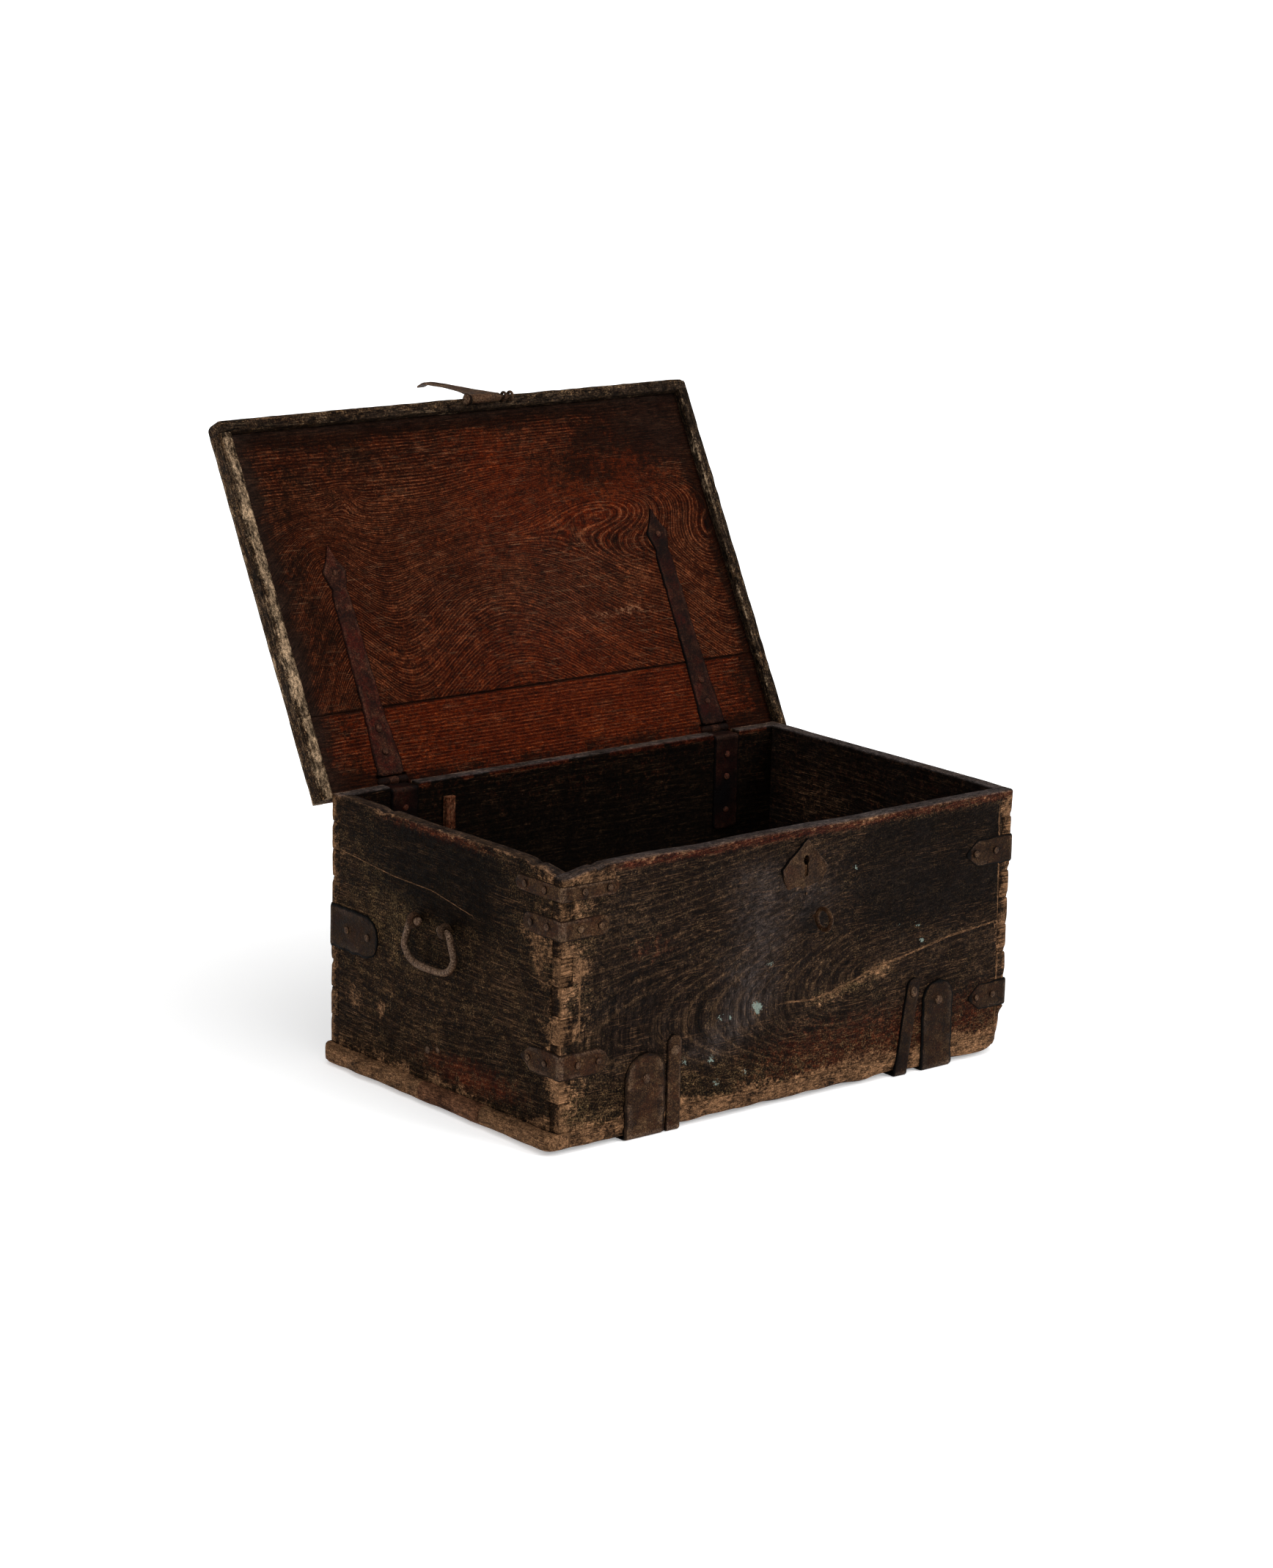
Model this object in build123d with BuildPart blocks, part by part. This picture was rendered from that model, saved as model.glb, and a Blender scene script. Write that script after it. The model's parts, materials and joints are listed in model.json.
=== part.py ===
"""A teak strongbox bound in wrought iron, standing with its lid thrown open.

Millimetres. X runs along the front, -Y is the front, +Z is up. The origin is the middle of the
base's underside, on the floor. The lid's pieces are drawn on the lid's own planes, which lean
back with it.
"""
import os
from math import cos, radians, sin

from build123d import *

os.makedirs("parts", exist_ok=True)

# Box
width = 750.0
depth = 475.0
rim_height = 358.0
wall = 19.0
base_thickness = 28.0
base_overhang = 13.0
base_rounding = 8.0
finger_count = 9

# Lid, measured from the hinge axis
lid_opening = 118.0
lid_thickness = 18.0
lip_drop = 12.0
lip_width = 18.0
lip_gap = 2.0
lip_rounding = 7.0
rear_plank = 98.0
rear_overhang = 13.0
hinge_standoff = 7.0
hinge_clearance = 0.5

# Strap hinges
hinge_offset = 273.0
strap = 2.6
leaf_width = 42.0
leaf_length = 320.0
body_leaf_length = 134.0
knuckle_radius = 5.5
knuckle_length = 14.0
knuckle_gap = 0.5
pin_radius = 2.5
pin_fit = 0.05
notch_clearance = 3.0
leaf_waist = 34.0
leaf_point = 15.0
nail_rows_on_lid = (-283, -70, -39)
nail_rows_on_body = (328, 297, 250)

# Iron bindings
corner_iron = 2.0
base_iron = 2.5
base_strap_reach = 160.0
nail_head_radius = 4.5
nail_head_height = 1.6
nail_shank_radius = 1.8
nail_head_taper = 38.0
nail_length = 15.0
nail_places = (0.36, 0.78)
nail_margin = 20.0
left_side_nail_places = [(-26, 69), (-5, 74)]
shank_share = 0.8

# Drop handles
handle_height = 234.0
handle_middle = 14.0
eye_spacing = 64.0
eye_standoff = 9.0
eye_wire = 2.5
eye_hole = 3.6
bail_radius = 4.5
bail_end_radius = 3.5
bail_drop = 56.0
bail_width = 108.0
bail_end_inward = 9.0
bail_end_outward = 6.0
bail_stub = 4.0

# Lock, hasp and hasp staple
keyhole_x = 13.5
keyhole_top = 314.0
keyhole_radius = 4.0
keyhole_slot = 5.5
keyhole_bottom = 293.0
hasp_x = 30.0
hasp_drop = 6.5
hasp_inset = 6.0
hasp_reach = 140.0
hasp_plate = 3.0
hasp_slot_start = 83.0
hasp_slot_end = 119.0
staple_height = 239.0
staple_radius = 14.0
staple_wire = 2.0
staple_standoff = 5.0

# Places worked out from the sizes above
half_width = width / 2
half_depth = depth / 2
inner_back = half_depth - wall
finger = (rim_height - base_thickness) / finger_count
hinge_y = half_depth + hinge_standoff
hinge_z = rim_height + hinge_clearance
lid_half_width = half_width + lip_gap + lip_width
lid_reach = hinge_standoff + depth + lip_gap + lip_width
panel_half_width = lid_half_width - lip_width
panel_reach = lid_reach - lip_width
lean = radians(lid_opening)

front_face = Plane(origin=(0, -half_depth, 0), x_dir=(1, 0, 0), z_dir=(0, -1, 0))
back_face = Plane(origin=(0, half_depth, 0), x_dir=(-1, 0, 0), z_dir=(0, 1, 0))
left_face = Plane(origin=(-half_width, 0, 0), x_dir=(0, -1, 0), z_dir=(-1, 0, 0))
right_face = Plane(origin=(half_width, 0, 0), x_dir=(0, 1, 0), z_dir=(1, 0, 0))
lid_underside = Plane(origin=(0, hinge_y, hinge_z), x_dir=(1, 0, 0), z_dir=(0, sin(lean), cos(lean)))


def save(piece, name):
    """Label a finished piece and write its STEP file."""
    piece.part.label = name
    export_step(piece.part, f"parts/{name}.step")


def across(x):
    """The plane square to X at x, on which Y and Z are drawn."""
    return Plane(origin=(x, 0, 0), x_dir=(0, 1, 0), z_dir=(1, 0, 0))


def along_hinge(x):
    """The plane square to the lid's hinge axis at x, centred on the axis."""
    return Plane(origin=(x, hinge_y, hinge_z), x_dir=(0, 1, 0), z_dir=(1, 0, 0))


# ---------------------------------------------------------------- walls

def cut_fingers(first, x_size, y_size, corners):
    """Cut every second finger away at the given corners, starting at finger number first."""
    heights = [base_thickness + (n + 0.5) * finger for n in range(first, finger_count, 2)]
    with Locations(*[(x, y, z) for x, y in corners for z in heights]):
        Box(x_size, y_size, finger, mode=Mode.SUBTRACT)


def wall_block(x_size, y_size, x, y):
    """One plain wall board standing on the base."""
    with BuildSketch(Plane.XY.offset(base_thickness)) as outline:
        with Locations((x, y)):
            Rectangle(x_size, y_size)
    extrude(outline.sketch, amount=rim_height - base_thickness)


def keyhole(plane, through):
    """Cut the keyhole: a round head over a straight slot."""
    with BuildSketch(plane) as outline:
        with Locations((keyhole_x, keyhole_top)):
            Circle(keyhole_radius)
        with Locations((keyhole_x, (keyhole_top + keyhole_bottom) / 2)):
            Rectangle(keyhole_slot, keyhole_top - keyhole_bottom)
    extrude(outline.sketch, amount=through, mode=Mode.SUBTRACT)


def front_board():
    y = -half_depth + wall / 2
    with BuildPart() as piece:
        wall_block(width, wall, 0, y)
        cut_fingers(1, wall, wall, [(side * (half_width - wall / 2), y) for side in (-1, 1)])
        keyhole(front_face, -wall)
    save(piece, "front_board")


def back_board():
    """The back wall, let down at the top where the two hinges pass over it."""
    y = half_depth - wall / 2
    notch_depth = 2 * strap
    with BuildPart() as piece:
        wall_block(width, wall, 0, y)
        cut_fingers(1, wall, wall, [(side * (half_width - wall / 2), y) for side in (-1, 1)])
        with Locations(*[(side * hinge_offset, y, rim_height - notch_depth / 2) for side in (-1, 1)]):
            Box(leaf_width + 2 * notch_clearance, wall, notch_depth, mode=Mode.SUBTRACT)
    save(piece, "back_board")


def side_board(side, name):
    x = side * (half_width - wall / 2)
    with BuildPart() as piece:
        wall_block(wall, depth, x, 0)
        cut_fingers(0, wall, wall, [(x, end * (half_depth - wall / 2)) for end in (-1, 1)])
    save(piece, name)


# ---------------------------------------------------------------- base

repair_depth = 26.0
repair_length = 125.0
repair_middle = -32.0


def base_slab():
    """The whole base: proud of the wall on the left, its lower edges rounded over."""
    with BuildSketch() as outline:
        with Locations((-base_overhang / 2, 0)):
            Rectangle(width + base_overhang, depth)
    extrude(outline.sketch, amount=base_thickness)
    left_edges = edges().filter_by(Axis.Z).group_by(Axis.X)[0]
    fillet(left_edges, base_overhang - 1)
    fillet(faces().sort_by(Axis.Z)[0].edges(), base_rounding)


def repair_box(mode):
    """The length of the base's left edge that a later hand replaced."""
    with Locations((-half_width - base_overhang + repair_depth / 2, repair_middle, base_thickness / 2)):
        Box(repair_depth, repair_length, base_thickness, mode=mode)


def base_board():
    with BuildPart() as piece:
        base_slab()
        repair_box(Mode.SUBTRACT)
        with BuildSketch():
            for x, strap_width, _, _ in base_straps.values():
                with Locations((x, -half_depth + base_strap_reach / 2)):
                    Rectangle(strap_width, base_strap_reach)
        extrude(amount=base_iron, mode=Mode.SUBTRACT)
    save(piece, "base_board")


def base_edge_repair():
    with BuildPart() as piece:
        base_slab()
        repair_box(Mode.INTERSECT)
    save(piece, "base_edge_repair")


# ---------------------------------------------------------------- iron bindings

# name: side, end, low edge, high edge, reach from the corner
corner_straps = {
    "corner_strap_front_left_top": (-1, -1, 317, 337, 92),
    "corner_strap_front_left_middle": (-1, -1, 269, 295, 76),
    "corner_strap_front_left_bottom": (-1, -1, 95, 128, 76),
    "corner_strap_front_right_upper": (1, -1, 261, 297, 84),
    "corner_strap_front_right_lower": (1, -1, 66, 101, 70),
    "corner_strap_back_left": (-1, 1, 156, 213, 106),
    "corner_strap_back_right": (1, 1, 156, 213, 106),
}

# name: x where it meets the floor, width, height, lean in degrees
base_straps = {
    "base_strap_left_wide": (-240, 64, 108, 0),
    "base_strap_left_narrow": (-195, 22, 124, 0),
    "base_strap_right_narrow": (189, 22, 131, -9),
    "base_strap_right_wide": (251, 54, 120, 0),
}
blunt_share = 0.3


def edges_at(axis, position, along):
    """The part's edges that run along one axis at a position on the other."""
    return edges().filter_by(along).filter_by_position(axis, position - 0.1, position + 0.1)


def corner_strap(name):
    """A flat strap bent round one corner, its two ends cut to blunt points."""
    side, end, low, high, reach = corner_straps[name]
    corner = (side * (half_width + corner_iron), end * (half_depth + corner_iron))
    with BuildPart() as piece:
        with BuildSketch(Plane.XY.offset(low)):
            with BuildLine():
                Polyline(
                    corner,
                    (corner[0] - side * reach, corner[1]),
                    (corner[0] - side * reach, corner[1] - end * corner_iron),
                    (side * half_width, end * half_depth),
                    (corner[0] - side * corner_iron, corner[1] - end * reach),
                    (corner[0], corner[1] - end * reach),
                    close=True,
                )
            make_face()
        extrude(amount=high - low)
        front_tip = edges_at(Axis.X, corner[0] - side * reach, Axis.Y)
        side_tip = edges_at(Axis.Y, corner[1] - end * reach, Axis.X)
        chamfer(front_tip + side_tip, length=blunt_share * (high - low))
    save(piece, name)


def base_strap(name):
    """A round-topped strap up the front that turns under the base, let in flush."""
    x, strap_width, height, tilt = base_straps[name]
    half = strap_width / 2
    shoulder = height - half
    tilted_x = (cos(radians(tilt)), 0, sin(radians(tilt)))
    upright = Plane(origin=(x, -half_depth, 0), x_dir=tilted_x, z_dir=(0, -1, 0))
    with BuildPart() as piece:
        with BuildSketch(upright):
            with BuildLine():
                Line((half, shoulder), (half, -half))
                Line((half, -half), (-half, -half))
                Line((-half, -half), (-half, shoulder))
                ThreePointArc((-half, shoulder), (0, height), (half, shoulder))
            make_face()
        extrude(amount=base_iron)
        with Locations((x, -half_depth, -half_depth)):
            Box(width, width, 2 * half_depth, mode=Mode.SUBTRACT)
        with BuildSketch():
            with Locations((x, -half_depth + (base_strap_reach - base_iron) / 2)):
                Rectangle(strap_width, base_strap_reach + base_iron)
        extrude(amount=base_iron)
    save(piece, name)


def drive_nails(plane, points, surface):
    """Drive a domed nail at each point of a plane, through iron of the given thickness."""
    with BuildSketch(plane.offset(surface)) as heads:
        with Locations(*points):
            Circle(nail_head_radius)
    extrude(heads.sketch, amount=nail_head_height, taper=nail_head_taper)
    with BuildSketch(plane.offset(surface)) as shanks:
        with Locations(*points):
            Circle(nail_shank_radius)
    extrude(shanks.sketch, amount=-nail_length)


def corner_strap_nails():
    with BuildPart() as piece:
        for side, end, low, high, reach in corner_straps.values():
            z = (low + high) / 2
            face = front_face if end < 0 else back_face
            flank = left_face if side < 0 else right_face
            across_face = [(-side * end * (half_width - share * reach), z) for share in nail_places]
            along_flank = [(side * end * (half_depth - share * reach), z) for share in nail_places]
            drive_nails(face, across_face, corner_iron)
            drive_nails(flank, along_flank, corner_iron)
    save(piece, "corner_strap_nails")


def base_strap_nails():
    with BuildPart() as piece:
        for x, strap_width, height, tilt in base_straps.values():
            rise = height - max(strap_width / 2, nail_margin)
            drive_nails(front_face, [(x - rise * sin(radians(tilt)), rise)], base_iron)
    save(piece, "base_strap_nails")


def left_side_nails():
    """Two nails driven through the left wall, close above the base."""
    with BuildPart() as piece:
        drive_nails(left_face, left_side_nail_places, 0)
    save(piece, "left_side_nails")


# ---------------------------------------------------------------- drop handles

def handle_eye(side, end, name):
    """A ring of wire with a shank driven into the side wall."""
    x = side * (half_width + eye_standoff)
    y = handle_middle + end * eye_spacing / 2
    ring = eye_hole + eye_wire
    with BuildPart() as piece:
        with Locations(Location((x, y, handle_height), (90, 0, 0))):
            Torus(ring, eye_wire)
        with BuildSketch(Plane(origin=(x - side * ring, y, handle_height), z_dir=(-side, 0, 0))):
            Circle(eye_wire)
        extrude(amount=eye_standoff - ring + shank_share * wall)
    save(piece, name)


def handle(side, name):
    """A round bail, its slimmer ends turned in through the two eyes."""
    x = side * (half_width + eye_standoff)
    turn_in = eye_spacing / 2 - bail_end_inward
    turn_out = eye_spacing / 2 + bail_end_outward
    half_bail = bail_width / 2
    upright = Plane(origin=(x, handle_middle, handle_height), x_dir=(0, 1, 0), z_dir=(1, 0, 0))
    with BuildPart() as piece:
        with BuildLine(upright):
            FilletPolyline(
                (-turn_out, 0),
                (-half_bail, 0),
                (-half_bail, -bail_drop),
                (half_bail, -bail_drop),
                (half_bail, 0),
                (turn_out, 0),
                radius=(half_bail - turn_out) - 1,
            )
        with BuildSketch(Plane(origin=(x, handle_middle - turn_out, handle_height), z_dir=(0, -1, 0))):
            Circle(bail_radius)
        sweep()
        for end in (-1, 1):
            outer_end = Plane(origin=(x, handle_middle + end * turn_out, handle_height), z_dir=(0, -end, 0))
            with BuildSketch(outer_end):
                Circle(bail_end_radius)
            extrude(amount=turn_out - turn_in)
            with BuildSketch(outer_end.offset(turn_out - turn_in)):
                Circle(bail_radius)
            extrude(amount=bail_stub)
    save(piece, name)


# ---------------------------------------------------------------- lock

case_left = -34.0
case_right = 62.0
case_low = 272.0
case_high = 336.0
case_depth = 16.0
case_sheet = 2.0
bolt_length = 60.0
bolt_height = 12.0
bolt_thickness = 5.0
bolt_z = 284.0
bolt_setback = 8.0
bolt_notch_length = 9.0
bolt_notch_depth = 3.0
drill_pin_radius = 1.6
drill_pin_proud = 4.0
rail_length = 80.0
rail_width = 8.0
rail_thickness = 2.0
rail_gap = 0.5
catch_x = 38.0
catch_length = 24.0
catch_width = 6.0
shield_outline = [(13, 342), (-30, 307), (-14, 276), (15, 262), (40, 278), (53, 304)]
shield_corner = 8.0
shield_thickness = 1.5
shield_nail_places = [(12, 331), (-18, 305), (40, 301), (15, 271)]
shield_nail_head = 2.0
shield_nail_shank = 1.0
shield_nail_height = 0.8
shield_nail_length = 10.0
shield_nail_taper = 30.0
lock_y = -half_depth + wall + case_depth / 2


def escutcheon():
    """A thin shield round the keyhole, drawn to a point at the top."""
    with BuildPart() as piece:
        with BuildSketch(front_face):
            with BuildLine():
                Polyline(*shield_outline, close=True)
            make_face()
            fillet(vertices().sort_by(Axis.Y)[:3], shield_corner)
        extrude(amount=shield_thickness)
        keyhole(front_face, shield_thickness)
    save(piece, "escutcheon")


def escutcheon_nails():
    with BuildPart() as piece:
        with BuildSketch(front_face.offset(shield_thickness)):
            with Locations(*shield_nail_places):
                Circle(shield_nail_head)
        extrude(amount=shield_nail_height, taper=shield_nail_taper)
        with BuildSketch(front_face.offset(shield_thickness)):
            with Locations(*shield_nail_places):
                Circle(shield_nail_shank)
        extrude(amount=-shield_nail_length)
    save(piece, "escutcheon_nails")


def lock_case():
    """A folded iron box on the inside of the front wall, slotted on top for a catch."""
    inner_face = front_face.offset(-wall)
    middle = ((case_left + case_right) / 2, (case_low + case_high) / 2)
    size = (case_right - case_left, case_high - case_low)
    with BuildPart() as piece:
        with BuildSketch(inner_face):
            with Locations(middle):
                Rectangle(*size)
        extrude(amount=-case_depth)
        with BuildSketch(inner_face):
            with Locations(middle):
                Rectangle(size[0] - 2 * case_sheet, size[1] - 2 * case_sheet)
        extrude(amount=case_sheet - case_depth, mode=Mode.SUBTRACT)
        with Locations((catch_x, lock_y, case_high)):
            Box(catch_length, catch_width, 4 * case_sheet, mode=Mode.SUBTRACT)
    save(piece, "lock_case")


def lock_bolt():
    """The bolt, with a notch below for the key's bit."""
    with BuildPart() as piece:
        with Locations((keyhole_x - bolt_setback, lock_y, bolt_z)):
            Box(bolt_length, bolt_thickness, bolt_height)
        with Locations((keyhole_x, lock_y, bolt_z + bolt_height / 2)):
            Box(bolt_notch_length, bolt_thickness, 2 * bolt_notch_depth, mode=Mode.SUBTRACT)
    save(piece, "lock_bolt")


def lock_drill_pin():
    """The pin that a piped key turns on."""
    with BuildPart() as piece:
        with BuildSketch(front_face.offset(-wall - case_depth + case_sheet)):
            with Locations((keyhole_x, keyhole_top)):
                Circle(drill_pin_radius)
        extrude(amount=case_depth - case_sheet + drill_pin_proud)
    save(piece, "lock_drill_pin")


def lock_bolt_rail():
    """The rail under the bolt, riveted to the back of the case."""
    x = (case_left + case_right) / 2
    y = -half_depth + wall + case_depth - case_sheet - rail_width / 2
    z = bolt_z - bolt_height / 2 - rail_gap - rail_thickness / 2
    with BuildPart() as piece:
        with Locations((x, y, z)):
            Box(rail_length, rail_width, rail_thickness)
    save(piece, "lock_bolt_rail")


# ---------------------------------------------------------------- hasp

hasp_s = -(lid_reach - hasp_inset)
hasp_t = -lip_drop - hasp_drop
hasp_y = hinge_y + hasp_s * cos(lean) + hasp_t * sin(lean)
hasp_z = hinge_z - hasp_s * sin(lean) + hasp_t * cos(lean)
barrel_radius = 6.0
barrel_left = hasp_x - 19
barrel_right = hasp_x + 28
hasp_eyes = (hasp_x - 23.5, hasp_x + 36, hasp_x + 47)
eye_width = 5.0
eye_post = 3.0
eye_post_length = 22.0
arm_outline = [
    (-18, 0), (-16, 14), (-9, 42), (-9, hasp_slot_end + 2), (-7, hasp_reach),
    (7, hasp_reach), (9, hasp_slot_end + 2), (9, 42), (20, 14), (27, 0),
]
arm_slot_width = 7.0
lift_width = 14.0
disc_thickness = 2.0
disc_gap = 0.5
pin_tail = 2.0


def at_hasp(x):
    """The plane square to the hasp's pin at x, centred on the pin."""
    return Plane(origin=(x, hasp_y, hasp_z), x_dir=(0, 1, 0), z_dir=(1, 0, 0))


def hasp():
    """A rolled barrel with a long slotted arm that narrows to a curled finger lift."""
    plate = Plane(origin=(hasp_x, hasp_y, hasp_z + barrel_radius - hasp_plate))
    with BuildPart() as piece:
        with BuildSketch(at_hasp(barrel_left)):
            Circle(barrel_radius)
        extrude(amount=barrel_right - barrel_left)
        with BuildSketch(plate):
            with BuildLine():
                Polyline(*arm_outline, close=True)
            make_face()
            with Locations((0, (hasp_slot_start + hasp_slot_end) / 2)):
                slot_length = hasp_slot_end - hasp_slot_start
                SlotOverall(slot_length, arm_slot_width, rotation=90, mode=Mode.SUBTRACT)
        extrude(amount=hasp_plate)
        with BuildSketch(at_hasp(hasp_x - lift_width / 2)):
            with Locations((hasp_reach, barrel_radius - hasp_plate)):
                Circle(hasp_plate)
        extrude(amount=lift_width)
        with BuildSketch(at_hasp(barrel_left)):
            Circle(pin_radius + pin_fit)
        extrude(amount=barrel_right - barrel_left, mode=Mode.SUBTRACT)
    save(piece, "hasp")


def hasp_pin():
    """The hasp's pin: a broad disc head on the left, and a plain tail."""
    head = hasp_eyes[0] - eye_width / 2 - disc_gap - disc_thickness
    tail = hasp_eyes[-1] + eye_width / 2 + pin_tail
    with BuildPart() as piece:
        with BuildSketch(at_hasp(head)):
            Circle(barrel_radius)
        extrude(amount=disc_thickness)
        with BuildSketch(at_hasp(head)):
            Circle(pin_radius)
        extrude(amount=tail - head)
    save(piece, "hasp_pin")


def hasp_eye_loops():
    """Three eyes of bent strip, driven up into the lid's front lip, that carry the pin."""
    eye_plane = Plane(origin=(0, hasp_y, hasp_z), x_dir=(1, 0, 0), z_dir=lid_underside.z_dir)
    with BuildPart() as piece:
        for x in hasp_eyes:
            with BuildSketch(at_hasp(x - eye_width / 2)):
                Circle(barrel_radius)
            extrude(amount=eye_width)
        with BuildSketch(eye_plane):
            with Locations(*[(x, 0) for x in hasp_eyes]):
                Rectangle(eye_post, eye_post)
        extrude(amount=eye_post_length)
        with BuildSketch(at_hasp(hasp_eyes[0] - eye_width)):
            Circle(pin_radius + 2 * pin_fit)
        extrude(amount=hasp_eyes[-1] - hasp_eyes[0] + 2 * eye_width, mode=Mode.SUBTRACT)
    save(piece, "hasp_eye_loops")


def hasp_staple():
    """A ring of wire standing off the front, which the hasp's slot drops over."""
    y = -half_depth - staple_radius - staple_standoff
    with BuildPart() as piece:
        with Locations(Location((hasp_x, y, staple_height), (0, 90, 0))):
            Torus(staple_radius, staple_wire)
        with BuildSketch(Plane(origin=(hasp_x, y + staple_radius, staple_height), z_dir=(0, 1, 0))):
            Circle(staple_wire)
        extrude(amount=staple_standoff + shank_share * wall)
    save(piece, "hasp_staple")


# ---------------------------------------------------------------- lid

def lid_plank(front_edge, rear_edge, name):
    """One plank of the lid, let out round the hinge knuckles at the rear."""
    length = rear_edge - front_edge
    with BuildPart() as piece:
        with BuildSketch(lid_underside):
            with Locations((0, (front_edge + rear_edge) / 2)):
                Rectangle(2 * panel_half_width, length)
            if rear_edge > 0:
                notch = rear_overhang + knuckle_radius + notch_clearance
                for side in (-1, 1):
                    with Locations((side * hinge_offset, rear_edge - notch / 2)):
                        Rectangle(leaf_width + 2 * notch_clearance, notch, mode=Mode.SUBTRACT)
        extrude(amount=lid_thickness)
    save(piece, name)


def along_lid(edge):
    """How far an edge's middle is from the hinge axis, along the lid; in front of it is negative."""
    return lid_underside.to_local_coords(edge).center().Y


def lip(x_low, x_high, front_edge, rear_edge, rounded, name):
    """A length of the lid's lip, its outer edges rounded over."""
    size = (x_high - x_low, rear_edge - front_edge)
    with BuildPart() as piece:
        with BuildSketch(lid_underside.offset(-lip_drop)):
            with Locations(((x_low + x_high) / 2, (front_edge + rear_edge) / 2)):
                Rectangle(*size)
        extrude(amount=lip_drop + lid_thickness)
        if rounded == "front":
            outer = edges().filter_by(Axis.X).filter_by(lambda e: along_lid(e) < front_edge + 1)
        else:
            outer = edges().filter_by(lambda e: abs(abs(e.center().X) - lid_half_width) < 0.1)
            outer = outer.filter_by(lambda e: e.length > lip_drop + lid_thickness)
        fillet(outer, lip_rounding)
    save(piece, name)


def lid_boards_and_lips():
    lid_plank(-panel_reach, -rear_plank, "lid_front_plank")
    lid_plank(-rear_plank, rear_overhang, "lid_rear_plank")
    lip(-lid_half_width, lid_half_width, -lid_reach, -panel_reach, "front", "lid_front_lip")
    lip(-lid_half_width, -panel_half_width, -panel_reach, -rear_plank, "side", "lid_left_lip_front")
    lip(-lid_half_width, -panel_half_width, -rear_plank, rear_overhang, "side", "lid_left_lip_rear")
    lip(panel_half_width, lid_half_width, -panel_reach, rear_overhang, "side", "lid_right_lip")


# ---------------------------------------------------------------- lid hinges

def knuckle(x, numbers):
    """The numbered knuckles, 0 to 2, of a hinge centred on x."""
    pitch = knuckle_length + knuckle_gap
    for number in numbers:
        middle = x + (number - 1) * pitch
        with BuildSketch(along_hinge(middle - knuckle_length / 2)) as outline:
            Circle(knuckle_radius)
        extrude(outline.sketch, amount=knuckle_length)


def pin_hole(x):
    with BuildSketch(along_hinge(x - leaf_width)) as hole:
        Circle(pin_radius + pin_fit)
    extrude(hole.sketch, amount=2 * leaf_width, mode=Mode.SUBTRACT)


def lid_leaf(side, name):
    """The long leaf under the lid: broad at the hinge, tapering to a leaf-shaped tip."""
    x = side * hinge_offset
    neck = leaf_length - 60
    clear = knuckle_radius + 3 * knuckle_gap
    half = leaf_width / 2
    under = Plane(origin=(x, hinge_y, hinge_z), x_dir=(1, 0, 0), z_dir=lid_underside.z_dir)
    with BuildPart() as piece:
        with BuildSketch(under):
            with BuildLine():
                flank = Polyline((half, -clear), (leaf_waist / 2, -90), (15, -neck + 10), (11, -neck))
                tip = Spline((11, -neck), (19, -neck - 26), (5, -leaf_length + 12), (0, -leaf_length))
                mirror(flank, about=Plane.YZ)
                mirror(tip, about=Plane.YZ)
                Line((half, -clear), (-half, -clear))
            make_face()
            with Locations((0, -clear / 2)):
                Rectangle(knuckle_length, clear)
        extrude(amount=-strap)
        knuckle(x, [1])
        pin_hole(x)
    save(piece, name)


def body_leaf(side, name):
    """The short leaf: over the top of the back wall, then down its inner face to a point."""
    x = side * hinge_offset
    top = rim_height - strap
    low = rim_height - body_leaf_length
    room = 2 * (knuckle_radius + knuckle_gap)
    with BuildPart() as piece:
        with BuildSketch(across(x - leaf_width / 2)):
            with BuildLine():
                Polyline(
                    (hinge_y, top), (inner_back - strap, top), (inner_back - strap, low),
                    (inner_back, low), (inner_back, top - strap), (hinge_y, top - strap), close=True)
            make_face()
        extrude(amount=leaf_width)
        chamfer(edges().filter_by(Axis.Y).group_by(Axis.Z)[0], length=leaf_point)
        with Locations((x, hinge_y, hinge_z)):
            Box(2 * leaf_width, room, room, mode=Mode.SUBTRACT)
        with BuildSketch(across(x - leaf_width / 2)):
            with Locations(((hinge_y + half_depth) / 2, top - strap / 2)):
                Rectangle(hinge_standoff, strap)
        extrude(amount=leaf_width)
        with Locations((x, hinge_y, hinge_z)):
            Box(knuckle_length + 2 * knuckle_gap, room, room, mode=Mode.SUBTRACT)
        knuckle(x, [0, 2])
        pin_hole(x)
    save(piece, name)


head_gap = 0.2
head_thickness = 1.2
head_spread = 1.0
head_taper = 25.0


def hinge_pin(side, name):
    """A plain pin with its two ends hammered over."""
    x = side * hinge_offset
    half = 1.5 * knuckle_length + knuckle_gap
    with BuildPart() as piece:
        with BuildSketch(along_hinge(x - half)):
            Circle(pin_radius)
        extrude(amount=2 * half)
        for end in (-1, 1):
            face = Plane(origin=(x + end * half, hinge_y, hinge_z), z_dir=(end, 0, 0))
            with BuildSketch(face.offset(head_gap)):
                Circle(pin_radius + head_spread)
            extrude(amount=head_thickness, taper=head_taper)
            with BuildSketch(face):
                Circle(pin_radius)
            extrude(amount=head_gap)
    save(piece, name)


def lid_leaf_nails():
    with BuildPart() as piece:
        underside = Plane(origin=lid_underside.origin, x_dir=(-1, 0, 0), z_dir=-lid_underside.z_dir)
        for side in (-1, 1):
            x = -side * hinge_offset
            drive_nails(underside, [(x, row) for row in nail_rows_on_lid], strap)
    save(piece, "lid_leaf_nails")


def body_leaf_nails():
    inner = Plane(origin=(0, inner_back, 0), x_dir=(1, 0, 0), z_dir=(0, -1, 0))
    with BuildPart() as piece:
        for side in (-1, 1):
            x = side * hinge_offset
            drive_nails(inner, [(x, row) for row in nail_rows_on_body], strap)
    save(piece, "body_leaf_nails")


cleat_place = (-203, 312)
cleat_width = 15.0
cleat_depth = 8.0
cleat_height = 44.0
cleat_chamfer = 1.5


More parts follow.
